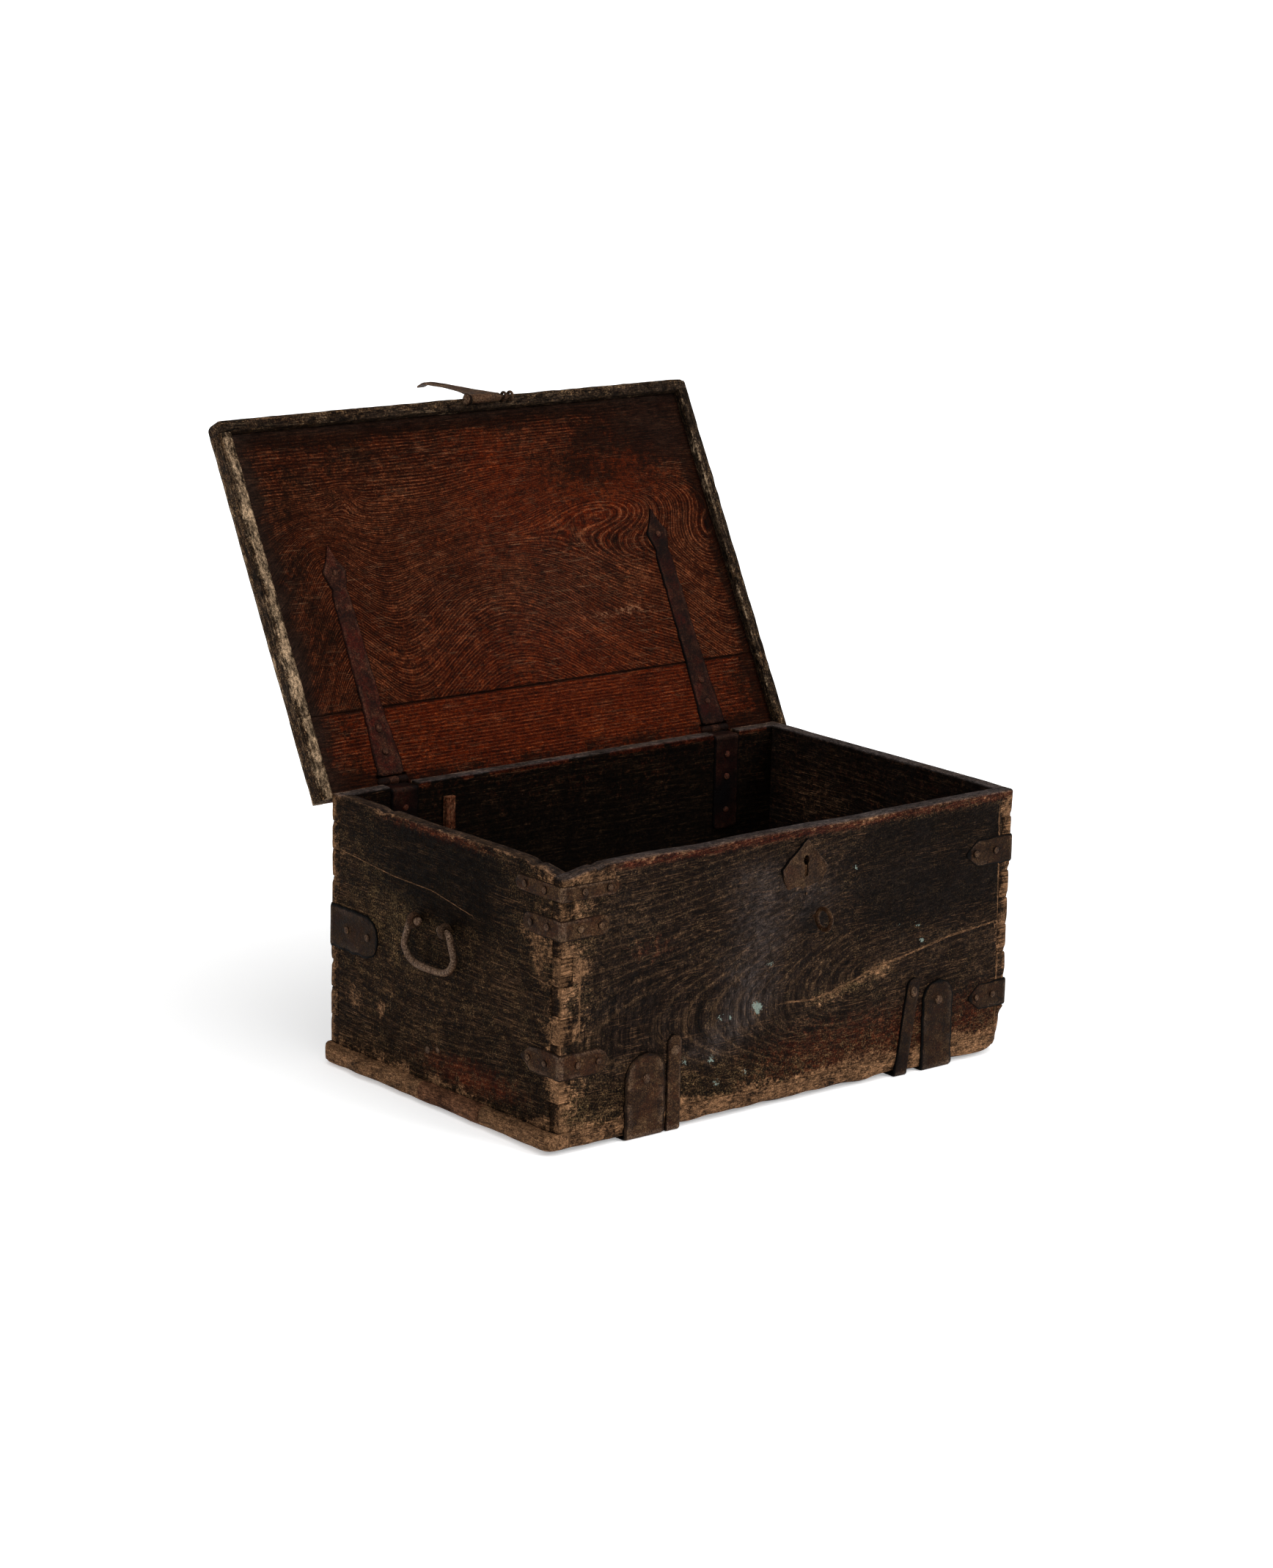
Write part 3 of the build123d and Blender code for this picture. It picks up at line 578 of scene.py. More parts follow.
CORNERS = [(sx, sy) for sx in (-1, 1) for sy in (-1, 1)]
front_face, back_face = (1, -1, -half_depth), (1, 1, half_depth)
right_face, ground = (0, 1, half_width), (2, -1, 0.0)
seam_depth = 1.1


def rim_drop(p):
    """How far the rim has worn down, along the front and the left."""
    x, y, _ = p.T
    front = bump(y, -half_depth, 60)
    left = bump(x, -half_width, 60)
    corner = 11 * bump(x, -half_width, 40) * bump(y, -half_depth, 42)
    drop = corner + 1.2 * (1 + 0.5 * rough(p, (150, 150, 400), 3)) * np.maximum(front, left)
    for place, reach, depth in ((-318, 4, 3), (-150, 40, 2.0), (96, 50, 1.5)):
        drop += front * depth * bump(x, place, reach)
    for place, reach, depth in ((-176, 6, 4), (128, 9, 4), (30, 50, 1.5)):
        drop += left * depth * bump(y, place, reach)
    return drop + 0.35 * rough(p, (12, 12, 90), 5) * np.maximum(front, left)


def finger_lines():
    """The heights at which one finger of the corner joints ends and the next begins."""
    return [floor_top + n * finger for n in range(1, finger_count)]


def chip_depth(p, sx, sy):
    """How far each standing corner is knocked back, up its height."""
    z = p[:, 2]
    depth = 3.2 + 1.8 * rough(p * (0, 0, 1), (1, 1, 26), 11 + sx + 3 * sy)
    for number, place in enumerate(finger_lines()):
        depth += (2 + 1.5 * (number % 3)) * bump(z, place + 2 * sx, 3.5)
    depth = np.clip(depth, 1.2, 9)
    if (sx, sy) == (1, -1):
        depth += 15 * ramp(z, 66, 52) + 6 * ramp(z, 45, 20) + 3 * bump(z, 108, 6)
    return depth


def weather_walls(p):
    """Wear the four walls as one box, so that their joints stay closed."""
    drop = rim_drop(p)
    p[:, 2] -= drop * ramp(p[:, 2], rim - 70, rim)
    top = rim - drop
    for sy in (-1, 1):
        soften(p, (1, sy, sy * half_depth), (2, 1, top), 2.6 + 1.2 * noise(p, 30, 21))
        soften(p, (1, -sy, sy * inner_y), (2, 1, top), 2.0)
    for sx in (-1, 1):
        soften(p, (0, sx, sx * half_width), (2, 1, top), 2.6 + 1.2 * noise(p, 30, 22))
        soften(p, (0, -sx, sx * inner_x), (2, 1, top), 2.0)
    for sx, sy in CORNERS:
        soften(p, (0, sx, sx * half_width), (1, sy, sy * half_depth), chip_depth(p, sx, sy))
    outside = np.maximum(np.abs(p[:, 0]) - inner_x, np.abs(p[:, 1]) - inner_y) / wall
    swell = 0.9 * rough(p, 140, 31) + 0.35 * rough(p, (28, 28, 12), 32)
    push = np.clip(outside, 0, 1) * (swell - 0.5)
    p[:, 0] += push * np.sign(p[:, 0]) * (np.abs(p[:, 0]) > inner_x)
    p[:, 1] += push * np.sign(p[:, 1]) * (np.abs(p[:, 1]) > inner_y)
    return p


def finger_ends(p, axis, limit, inner, owned, seed):
    """Set each finger's end grain in by its own amount, and sink the seams round it."""
    level = (p[:, 2] - floor_top) / finger
    number = owned + 2 * np.round((level - 0.5 - owned) / 2).astype(int)
    random = np.random.default_rng(seed).uniform(0, 1.5, 4 * finger_count)
    end = np.sign(p[:, axis])
    inset = random[(number + finger_count * (end > 0)).astype(int)]
    start = limit - 4
    p[:, axis] -= end * inset * np.clip((np.abs(p[:, axis]) - start) / (limit - start), 0, None)
    on_line = np.abs(level - np.round(level)) * finger < 0.3
    in_joint = np.abs(p[:, axis]) > inner - 0.3
    beside = np.abs(np.abs(p[:, axis]) - inner) < 0.3
    other = 1 - axis
    face = np.abs(p[:, other]) > (half_depth if other == 1 else half_width) - 0.3
    p[:, other] -= np.sign(p[:, other]) * seam_depth * ((on_line & in_joint | beside) & face)
    p[:, axis] -= end * seam_depth * (on_line & (np.abs(p[:, axis]) > limit - 1.6 - inset))
    return p


def hide_fingers(along, height, inner, owned):
    """The cells at a board's ends that belong to its neighbour's fingers."""
    number = np.floor((height - floor_top) / finger).astype(int)
    return (np.abs(along) > inner) & (number % 2 != owned)


def corner_wear(p):
    """Wear along the standing corners and the rim."""
    wear = np.zeros(len(p))
    for sx, sy in CORNERS:
        wear = np.maximum(wear, edge_wear(p, (0, sx, sx * half_width), (1, sy, sy * half_depth), 7))
    for axis, limit in ((0, half_width), (1, half_depth)):
        for side in (-1, 1):
            wear = np.maximum(wear, 0.6 * edge_wear(p, (axis, side, side * limit), (2, 1, rim), 5))
    return wear


SOUND = 60.0  # the distance to a split that whole wood is given


def near_lines(a, b, *routes):
    """Signed distance to the nearest of some lines through points, wide of them past their ends."""
    best = np.full(len(a), SOUND)
    for (a0, b0), (a1, b1) in (leg for route in routes for leg in zip(route, route[1:])):
        length = np.hypot(a1 - a0, b1 - b0)
        share = ((a - a0) * (a1 - a0) + (b - b0) * (b1 - b0)) / length**2
        side = ((a - a0) * (b1 - b0) - (b - b0) * (a1 - a0)) / length
        past = np.maximum(np.maximum(-share, share - 1), 0) * length
        distance = side + np.sign(side) * past
        best = np.where(np.abs(distance) < np.abs(best), distance, best)
    return best


# the keyhole's middle along X, and the heights of its foot, neck and top
KEYHOLE = 13.5
key_foot, key_neck, key_top = 293.5, 307.5, 320.5
# splits and patched joints as lines in X and Z on the front, in Y and Z on the left side
front_split = [(354, 182), (269, 175), (200, 163), (131, 152), (104, 143), (64, 134), (33, 129), (-12, 133)]
front_joints = [
    [(-376, 250), (-346, 247), (-345, 143), (-376, 143)],
    [(-376, 80), (-347, 77), (-347, 49), (-376, 46)],
    [(350, 331), (354, 231), (358, 126), (358, 40)],
]
left_splits = [
    [(236, 289), (150, 281), (100, 277), (22, 276), (-60, 262)],
    [(-175, 215), (-206, 211), (-238, 210)],
    [(-238, 153), (-218, 152), (-218, 122), (-238, 122)],
]
# each spot's X, Z and size on the front
green_spots = [
    (-63, 138, 3.6), (-56, 135, 2.6), (-60, 131, 2.4), (-41, 189, 2.4), (-120, 132, 2.2), (-104, 128, 2),
    (-134, 80, 3.2), (-124, 48, 3), (-178, 85, 2.4), (-78, 54, 2.2), (97, 292, 2), (212, 199, 2.2),
    (179, 201, 2), (220, 177, 2),
]


def front_figure(x, z):
    """Nested arches that open to the right about the split, and lie level far from it."""
    middle = 134 + 0.13 * np.maximum(x + 12, 0)
    depth = 6 + 130 * np.tanh(np.maximum(120 - x, 0) * 0.45 / 130)
    return np.hypot(z - middle, depth)


def front_board():
    """The front, with its keyhole, arched figure, long split, worn foot and dusty smear."""
    keyhole_lines = [KEYHOLE + side * away for side in (-1, 1) for away in (3.2, 4.6)]
    xs = lines(-half_width, half_width, 5.5, (-inner_x, inner_x, *keyhole_lines))
    ys = lines(front_low[1], front_high[1], 7)
    zs = lines(floor_top, rim, 5.5, [*finger_lines(), key_foot, key_neck, key_top])

    def empty(x, y, z):
        away = np.abs(x - KEYHOLE)
        head = (away < 4.6) & (z > key_neck) & (z < key_top)
        slot = (away < 3.2) & (z > key_foot) & (z < key_neck) & (y < 4.5 - half_depth)
        return hide_fingers(x, z, inner_x, 0) | head | slot

    p, quads = block(xs, ys, zs, empty)
    x, y, z = p.T
    outer = y < -half_depth + 1
    flat = columns(x, z, y) / 10
    ring = np.where(outer, front_figure(x, z), z) + 3 * rough(p, (300, 60, 90), 41, 2)
    staple_low, staple_high = box("hasp_staple")
    staple_x, _, staple_z = (staple_low + staple_high) / 2
    split_z = np.interp(x, *zip(*front_split[::-1]))

    in_slot = (np.abs(x - KEYHOLE) < 4) & (z > key_foot - 1.5) & (z < key_neck - 0.5) & ~outer
    low_edge = ramp(z, 52 + 14 * noise(p, 60, 42), floor_top)
    left_end = ramp(x, -280, -368) * (0.7 + 0.3 * ramp(z, 130, 260))
    wear = 0.6 * corner_wear(p) + outer * (0.42 * low_edge + 0.17 * left_end) + 0.8 * in_slot
    for place, level, reach in (
        (-330, 338, 26), (-362, 304, 14), (-350, 232, 20), (-300, 330, 14), (-358, 150, 14),
    ):
        wear += 0.36 * outer * patch(x, z, place, reach, level, reach)
    wear *= np.where(outer, 1 + 0.9 * rough(p, (34, 20, 11), 47), 1)
    wear += 0.34 * outer * ramp(x, 350, 357) * (bump(z, 175, 60) + bump(z, 320, 30))
    splinters = bump(z, split_z - 6, 12) * ramp(x, 20, 50) * ramp(x, 190, 150)
    wear += 0.22 * outer * (splinters + patch(x, z, 13, 40, 300, 40))

    # grey dust on the rim's top with a painted sheen, stronger towards the right
    dust_and_sheen = ramp(z, rim - 3, rim) * (0.75 + 0.25 * ramp(x, -100, 100))
    dust_and_sheen += outer * (0.07 + 0.2 * patch(x, z, 10, 45, 290, 40)) * ramp(z, 60, 110)

    red = 0.9 * ramp(z, rim - 15, rim - 10) * ramp(x, -340, -250) + 0.4 * patch(x, z, -235, 40, 238, 18)
    red = outer * (red + 0.55 * ramp(z, 130, 60) * ramp(x, -160, 60))

    dirt_and_shade = 0.22 + 0.3 * patch(x, z, -270, 60, 165, 60) + 0.2 * patch(x, z, -160, 90, 280, 60)
    dirt_and_shade += 0.8 * ramp(x, 30, 160) * ramp(z, 170, 230)
    # the inner face grows darker further down into the box: dirt and painted shade
    dirt_and_shade = outer * dirt_and_shade + 0.8 * (y > -inner_y - 1) * ramp(z, rim, rim - 120)
    dirt_and_shade *= 1 - 0.9 * ramp(z, rim - 16, rim - 11) * outer
    dirt_and_shade += 0.7 * outer * bump(np.hypot(x - staple_x, z - staple_z), 15, 8)

    crumbs = 0.42 + 0.22 * ramp(x, 40, 160) * ramp(z, 190, 250) + 0.4 * left_end + 0.5 * splinters
    crumbs += 0.3 * ramp(z, 90, 50) - 0.3 * patch(x, z, -250, 60, 165, 50)
    smear_x = np.interp(z, (90, 140, 225, 310, 350), (-130, -75, -55, -63, -60))
    smear = 0.9 * bump(x, smear_x, 42) * ramp(z, 60, 120) * ramp(z, rim - 20, rim - 60)
    smear += 0.5 * patch(x, z, 27, 36, 263, 30)
    green = sum(0.95 * patch(x, z, a, 1.5 * size, b, 1.5 * size) for a, b, size in green_spots)
    flecked = 0.7 * splinters + 0.6 * patch(x, z, 240, 60, 295, 20) + 0.8 * patch(x, z, 290, 22, 206, 14)
    more = columns(outer * crumbs, outer * smear, outer * green, outer * flecked)
    crack = np.where(outer, near_lines(x, z, front_split, *front_joints), SOUND)
    p = weather_walls(finger_ends(p, 0, half_width, inner_x, 0, 51))
    look = look_of(wear, dust_and_sheen, red, dirt_and_shade)
    piece("front_wall", p, quads, "aged_teak", "chest", ["front_board"], flat, ring / 10, look, crack, more)


def leaf_span(low, high, spare):
    """The middle and half width of the room that a hinge leaf needs, on the right side."""
    return -(low[0] + high[0]) / 2, (high[0] - low[0]) / 2 + spare


def leaf_edges(middle, half):
    """Where both hinge leaves' rooms start and end along X."""
    return [side * middle + edge * half for side in (-1, 1) for edge in (-1, 1)]


def back_board():
    """The back, with room in its rim for the two hinge leaves."""
    middle, half = leaf_span(*box("body_hinge_leaf_left"), 1.5)
    sill = rim - 5
    xs = lines(-half_width, half_width, 5.5, [-inner_x, inner_x, *leaf_edges(middle, half)])
    ys = lines(inner_y, half_depth, 7)
    zs = lines(floor_top, rim, 5.5, [*finger_lines(), sill])

    def empty(x, y, z):
        return hide_fingers(x, z, inner_x, 0) | ((np.abs(np.abs(x) - middle) < half) & (z > sill))

    p, quads = block(xs, ys, zs, empty)
    x, y, z = p.T
    inner = y < inner_y + 1
    outer = y > half_depth - 1
    flat = columns(x, z, y) / 10
    ring = z + 5 * rough(p, (300, 60, 90), 43, 2)
    torn = inner * ramp(z, rim - 9, rim - 4) * (noise(p, (26, 9, 9), 44) > -0.3)
    wear = corner_wear(p) + 0.4 * outer * ramp(z, 70, floor_top)
    # grey dust on the rim's top with a painted sheen, and dust on the outer face
    dust_and_sheen = 0.75 * ramp(z, rim - 3, rim) + 0.25 * outer
    red = torn + 0.25 * inner * ramp(z, 200, rim)
    # the inner face is dark, darker further down into the box: dirt and painted shade
    dirt_and_shade = inner * (0.92 + 0.2 * ramp(z, rim - 40, 160)) * (1 - torn) + 0.25 * outer
    look = look_of(wear, dust_and_sheen, red, dirt_and_shade)
    more = columns(0.3 * outer, 0, 0, 0)
    p = weather_walls(finger_ends(p, 0, half_width, inner_x, 0, 52))
    piece("back_wall", p, quads, "aged_teak", "chest", ["back_board"], flat, ring / 10, look, SOUND, more)


def side_board(side, name, node):
    """The left (-1) or right (1) side, whose fingers reach through to the front and back."""
    low, high = box(node)
    left = side < 0
    xs = lines(low[0], high[0], 7)
    ys = lines(-half_depth, half_depth, 5.5, (-inner_y, inner_y))
    zs = lines(floor_top, rim, 5.5, finger_lines())
    p, quads = block(xs, ys, zs, lambda x, y, z: hide_fingers(y, z, inner_y, 1))
    x, y, z = p.T
    outer = side * x > half_width - 1
    inner = side * x < inner_x + 1
    ends = np.abs(y) > half_depth - 1
    flat = np.where(ends[:, None], columns(z, x, y), columns(y, z, x)) / 10
    ring = z + 4 * rough(p, (60, 300, 90), 45 + side, 2)
    ring += 24 * patch(y, z, 40, 160, 90, 60) + 22 * patch(y, z, -120, 120, 260, 60)
    torn = inner * (not left) * patch(y, z, 125, 60, 272, 40)

    wear = 0.6 * corner_wear(p) + 0.35 * ends * (0.6 + 0.4 * noise(p, 20, 46))
    wear += outer * 0.25 * (patch(y, z, -175, 16, 271, 14) + patch(y, z, -192, 16, 235, 26))
    wear += outer * 0.4 * (patch(y, z, 126, 10, 98, 10) + patch(y, z, 189, 16, 100, 20))
    wear += outer * (0.25 * ramp(z, 50, floor_top) + 0.22 * ramp(y, half_depth - 40, half_depth))
    wear += outer * 0.24 * ramp(y, -half_depth + 70, -half_depth + 6)
    wear *= np.where(outer, 1 + 0.8 * rough(p, (20, 34, 11), 48), 1)
    wear += 0.12 * torn
    # grey dust on the rim's top with a painted sheen, far stronger on the right wall; a little dust inside
    dust_and_sheen = ramp(z, rim - 3, rim) * (0.25 if left else 0.95) + 0.08 * inner
    red = outer * 0.9 * (patch(y, z, -60, 95, 56, 20) + ramp(z, rim - 17, rim - 11) * bump(y, 12, 100))
    red += 0.2 * inner * (not left)
    soot = 0.14 + 1.19 * bump(y, 10, 150) * ramp(z, 210, 270) + 0.7 * patch(y, z, 22, 30, 206, 24)
    soot += 0.15 * ramp(y, 60, 200) * ramp(z, 250, 120)
    # the inner face is dark, darker further down into the box: dirt and painted shade
    dirt_and_shade = inner * (0.7 + 0.4 * ramp(z, rim - 60, 150)) * (1 - 0.5 * torn)
    dirt_and_shade += outer * soot * ramp(z, rim, rim - 18)
    look = look_of(wear, dust_and_sheen, red, dirt_and_shade)
    crumbs = outer * (0.55 + 0.35 * patch(y, z, 100, 80, 230, 60)) + 0.2 * torn
    more = columns(crumbs, 0, 0, 1.2 * torn)
    crack = np.where(outer & left, 2.2 * near_lines(y, z, *left_splits), SOUND)
    p = weather_walls(finger_ends(p, 1, half_depth, inner_y, 1, 53 + side))
    piece(name, p, quads, "aged_teak", "chest", [node], flat, ring / 10, look, crack, more)


front_board()
back_board()
side_board(-1, "left_wall", "left_side_board")
side_board(1, "right_wall", "right_side_board")

# ---------------------------------------------------------------- base

repair_low, repair_high = box("base_edge_repair")


def weather_base(p):
    """Wear the base as one slab: rounded and gnawed along the front, a roll edge on the left."""
    left = base_low[0]
    roll_face = (0, -1, left)
    toward_right = ramp(p[:, 0], half_width - 60, half_width), ramp(p[:, 0], half_width - 40, half_width)
    gnaw = 11 + 6 * rough(p, (40, 40, 200), 61) + 9 * toward_right[0] + 8 * toward_right[1]
    soften(p, front_face, ground, gnaw)
    soften(p, back_face, ground, 6 + 3 * noise(p, 40, 62))
    soften(p, right_face, ground, 7 + 3 * noise(p, 40, 63) + 14 * ramp(p[:, 1], -200, -half_depth))
    soften(p, roll_face, ground, 12 + 3 * rough(p, 40, 64))
    soften(p, roll_face, (2, 1, floor_top), 11 + 3 * rough(p, 40, 65))
    soften(p, roll_face, front_face, 14)
    soften(p, roll_face, back_face, 13)
    soften(p, right_face, front_face, 26 + 4 * rough(p, 14, 60))
    soften(p, right_face, back_face, 5)
    edge = np.clip(1 - (p[:, 0] - left) / 20, 0, 1)
    p[:, 0] += edge * (0.4 + 3 * rough(p, (60, 44, 60), 66))
    p[:, 2] += edge * ramp(p[:, 2], 8, 0) * (2.5 + 3 * rough(p, (60, 44, 60), 68))
    front = ramp(p[:, 1], -half_depth + 30, -half_depth)
    p[:, 1] += front * ramp(p[:, 2], floor_top, 0) * (1.2 + 1.6 * rough(p, (30, 60, 60), 67))
    p[:, 2] += front * ramp(p[:, 2], 10, 0) * (4 + 5 * rough(p, (48, 60, 60), 69))
    return p


def base_part(name, node, hole, slot, seed):
    """The base board, or the length of wood let into its left edge."""
    low, high = box(node)
    marks_x = (repair_high[0],) if hole else ()
    marks_y = (repair_low[1], repair_high[1]) if hole else ()
    near = (1.2, 3.5, 7.0, 11.0)
    xs = lines(low[0], high[0], 7, marks_x, near)
    ys = lines(low[1], high[1], 7, marks_y, near)
    zs = lines(0.6, high[2], 5, (), near[:3])

    def empty(x, y, z):
        return (x < repair_high[0]) & (y > repair_low[1]) & (y < repair_high[1])

    p, quads = block(xs, ys, zs, empty if hole else None)
    x, y, z = p.T
    left = base_low[0]
    left_edge = x < left + 30
    flat = np.where(left_edge[:, None], columns(y, z, x), p) / 10
    ring = np.where(left_edge, z + x, y + z) + 6 * rough(p, 90, seed)
    wear = 0.42 * ramp(y, -half_depth + 3, -half_depth) + ramp(x, left + 16, left + 6)
    wear += 0.3 * ramp(x, half_width - 3, half_width)
    inside = (np.abs(x) < inner_x) & (np.abs(y) < inner_y)
    # the floor inside the walls is dark: dirt and painted shade
    look = look_of(wear, 0, 0.3 * ramp(x, left + 12, left + 18), 0.8 * inside * (z > 1))
    more = columns(0.4 - 0.4 * left_edge, 0, 0, 0.4 - 0.3 * left_edge)
    seam = (np.abs(y - repair_low[1]) < 0.3) | (np.abs(y - repair_high[1]) < 0.3)
    p = weather_base(p)
    p[:, 0] += 1.5 * seam * (p[:, 0] < repair_high[0])
    piece(name, p, quads, slot, "chest", [node], flat, ring / 10, look, SOUND, more)


base_part("base", "base_board", True, "aged_teak", 71)
base_part("base_repair", "base_edge_repair", False, "repair_teak", 72)


def till_cleat():
    low, high = box("till_cleat")
    p, quads = block(*[lines(a, b, 4, (), (1.0,)) for a, b in zip(low, high)])
    x, y, z = p.T
    flat = columns(z, x, y) / 10
    ring = x + rough(p, 20, 73)
    for side, at in ((-1, low[0]), (1, high[0])):
        soften(p, (0, side, at), (1, -1, low[1]), 2.0)
    p[:, 1] += 0.8 * rough(p, 12, 74) * (y < high[1] - 1)
    look = (0.35, 0, 0.9, 0.1)
    piece("till_cleat_strip", p, quads, "repair_teak", "chest", ["till_cleat"], flat, ring / 10, look, SOUND)


till_cleat()

# ---------------------------------------------------------------- lid

panel_low, panel_high = lid_box("lid_front_plank")


def lid_figure(x, s, p):
    """The contour lines of the lid: a ridge down from the left knot, a broad arch and an oval eye."""
    ridge = 105 * bump(x, -280, 62) * ramp(s, -405, -290)
    arch = 150 * bump(x, -20, 175) * ramp(s, -385, -215)
    eye = 112 * patch(x, s, 195, 160, -338, 50)
    side = 60 * bump(x, 360, 60) * ramp(s, -400, -250)
    small = 26 * patch(x, s, -228, 22, -378, 16)
    return s + ridge + arch + eye - side + small + 3 * rough(p, (90, 60, 60), 81)


def lid_look(x, s, t):
    """The underside is red and glows at the right; the outside is weathered grey."""
    under = t < 1
    over = t > 17
    left, right = x - panel_low[0], panel_high[0] - x
    top = s - panel_low[1]
    # painted shade on the underside beside the raised lips, with grime there too
    grime_and_shade = np.max([
        1.6 * bump(top, 0, 20) + 0.3 * bump(top, 20, 40), 1.1 * bump(left, 0, 34), 1.2 * bump(right, 0, 18),
        0.6 * bump(top, 30, 60) * (1 - 0.8 * bump(x, 40, 70)), 0.42 * bump(left, 40, 70),
    ], axis=0)
    corner = patch(x, s, 335, 75, -440, 55)
    glow = 0.7 * patch(x, s, 235, 110, -375, 60) + 0.6 * patch(x, s, 60, 140, -330, 70)
    red = 0.15 + 0.75 * glow + 0.5 * patch(x, s, 40, 230, -120, 90) + 0.4 * patch(x, s, 20, 60, -420, 60)
    cloudy = 0.16 * ramp(x, -60, -300) + 0.2 * rough(columns(x, s, t), (150, 90, 90), 85)
    dirt_and_shade = under * (grime_and_shade + 0.9 * corner + cloudy + 0.4 * patch(x, s, 240, 120, -385, 70)) + 0.72 * over
    dust_and_sheen = 0.15 * corner + 0.1 * patch(x, s, 60, 90, -210, 80)
    # a painted grey reflection along the underside's left and top edges
    dust_and_sheen += 0.4 * bump(left, 0, 24) + 0.3 * bump(top, 0, 9)
    wear = 0.14 * over + 0.22 * under * patch(x, s, 165, 60, -182, 8)
    look = look_of(wear, 0.3 * over + under * dust_and_sheen, under * red, 0)
    look[:, 3] = np.clip(dirt_and_shade, 0, 1.5)
    return look


def plank(name, node, seed):
    """One of the lid's two planks. The rear one has room for the hinge leaves under it."""
    low, high = lid_box(node)
    middle, half = leaf_span(*lid_box("lid_hinge_leaf_left"), 3)
    cut, cut_depth = -9.0, 7.0
    rear = high[1] > 0
    xs = lines(low[0], high[0], 6, leaf_edges(middle, half) if rear else ())
    ys = lines(low[1], high[1], 6, (cut,) if rear else ())
    zs = lines(low[2], high[2], 6, (cut_depth,) if rear else ())

    def empty(x, s, t):
        return (np.abs(np.abs(x) - middle) < half) & (s > cut) & (t < cut_depth)

    p, quads = block(xs, ys, zs, empty if rear else None)
    x, s, t = p.T
    under, over = t < 1, t > 17
    flat = p / 10 + seed
    ring = s + 3 * rough(p, (300, 60, 60), 82, 2) if rear else lid_figure(x, s, p)
    look = lid_look(x, s, t)
    look[:, 3] += 1.5 * ramp(np.abs(s - (low[1] if rear else high[1])), 3, 0)
    if rear:
        look[:, 2] = np.clip(look[:, 2] + under * (0.35 + 0.3 * bump(x, 0, 200)), 0, 1)
        look[:, 3] += under * (0.7 * ramp(s, -22, 0) + 0.5 * ramp(x, 220, 330))
    scratched = under * patch(x, s, 60, 200, -230, 130)
    more = columns(0.3 + 0.2 * over, 0.2 * scratched, 0, 0.5 * scratched + 0.3 * over)
    for end, at in ((-1, low[1]), (1, high[1])):
        for side, level in ((-1, low[2]), (1, high[2])):
            soften(p, (1, end, at), (2, side, level), 1.8 + 0.8 * noise(p, 20, seed))
    p[:, 2] += np.where(t < 9, 0.56, 0.4) * rough(p, 90, 83 + seed)
    piece(name, on_lid(p), quads, "lid_teak", "lid", [node], flat, ring / 10, look, SOUND, more)


def lip(name, node, along, seed):
    """A lip of the lid that runs along x (0) or along s (1)."""
    low, high = lid_box(node)
    near = (1.2, 3.5, 7.0)
    axis_lines = [lines(a, b, 6, (), near) for a, b in zip(low, high)]
    p, quads = block(*axis_lines)
    x, s, t = p.T
    flat = columns(*((x, s, t) if along == 0 else (s, x, t))) / 10 + seed
    ring = p[:, 1 - along] + t + 3 * rough(p, 60, seed)
    left = high[0] < 0
    inward = high[1] - s if along == 0 else (high[0] - x if left else x - low[0])
    below = t < low[2] + 6
    if along == 0:
        wear = 0.14 * ramp(inward, 11, 17)
        # the front lip's underside grows darker towards the panel: painted shade
        dirt_and_shade = 0.55 + 0.45 * ramp(inward, 14, 6) * below
    elif left:
        wear = 0.62 * bump(inward, 9, 9) * below + 0.3 * (t > high[2] - 8)
        dirt_and_shade = 0.6 * ramp(inward, 14, 18) * (t < high[2] - 8)
    else:
        wear = 0.25 * np.exp(-(inward + t - low[2]) / 2)
        dirt_and_shade = 0.95 + 0 * x
    wear = wear + 0.25 * rough(p, (24, 24, 12), seed)
    # the last term paints shade along the lip's inner face, where it meets the panel
    dirt_and_shade = dirt_and_shade + 0.45 * rough(p, (26, 26, 12), seed + 2) + 1.2 * ramp(inward, 2, 0) * (t > -8)
    look = look_of(wear, 0.1 + 0.1 * noise(p, 50, seed + 1), 0, dirt_and_shade)
    gouge = 2.0 * rough(p, (16, 16, 60), seed + 3)
    if along == 0:
        for side, level in ((-1, low[2]), (1, high[2])):
            soften(p, (1, -1, low[1]), (2, side, level), 7 + gouge)
        for side, at in ((-1, low[0]), (1, high[0])):
            soften(p, (0, side, at), (1, -1, low[1]), 10)
            soften(p, (0, side, at), (2, -1, low[2]), 7)
            soften(p, (0, side, at), (2, 1, high[2]), 7)
        soften(p, (1, 1, high[1]), (2, -1, low[2]), 2.5 + gouge)
    else:
        outward = 1 if low[0] > 0 else -1
        outer, inner = (high[0], low[0]) if outward > 0 else (low[0], high[0])
        for side, level in ((-1, low[2]), (1, high[2])):
            soften(p, (0, outward, outer), (2, side, level), 7 + gouge)
        soften(p, (0, -outward, inner), (2, -1, low[2]), 2.5 + gouge)
        soften(p, (1, 1, high[1]), (2, -1, low[2]), 4)
    p[:, 2] += 0.9 * rough(p, (50, 50, 500), seed + 4) * (t < 0)
    piece(name, on_lid(p), quads, "lip_teak", "lid", [node], flat, ring / 10, look, SOUND, (0.65, 0, 0, 0.3))


plank("lid_front", "lid_front_plank", 1)
plank("lid_rear", "lid_rear_plank", 5)
lip("lip_front", "lid_front_lip", 0, 91)
lip("lip_left_front", "lid_left_lip_front", 1, 92)
lip("lip_left_rear", "lid_left_lip_rear", 1, 95)
lip("lip_right", "lid_right_lip", 1, 98)

# ---------------------------------------------------------------- iron

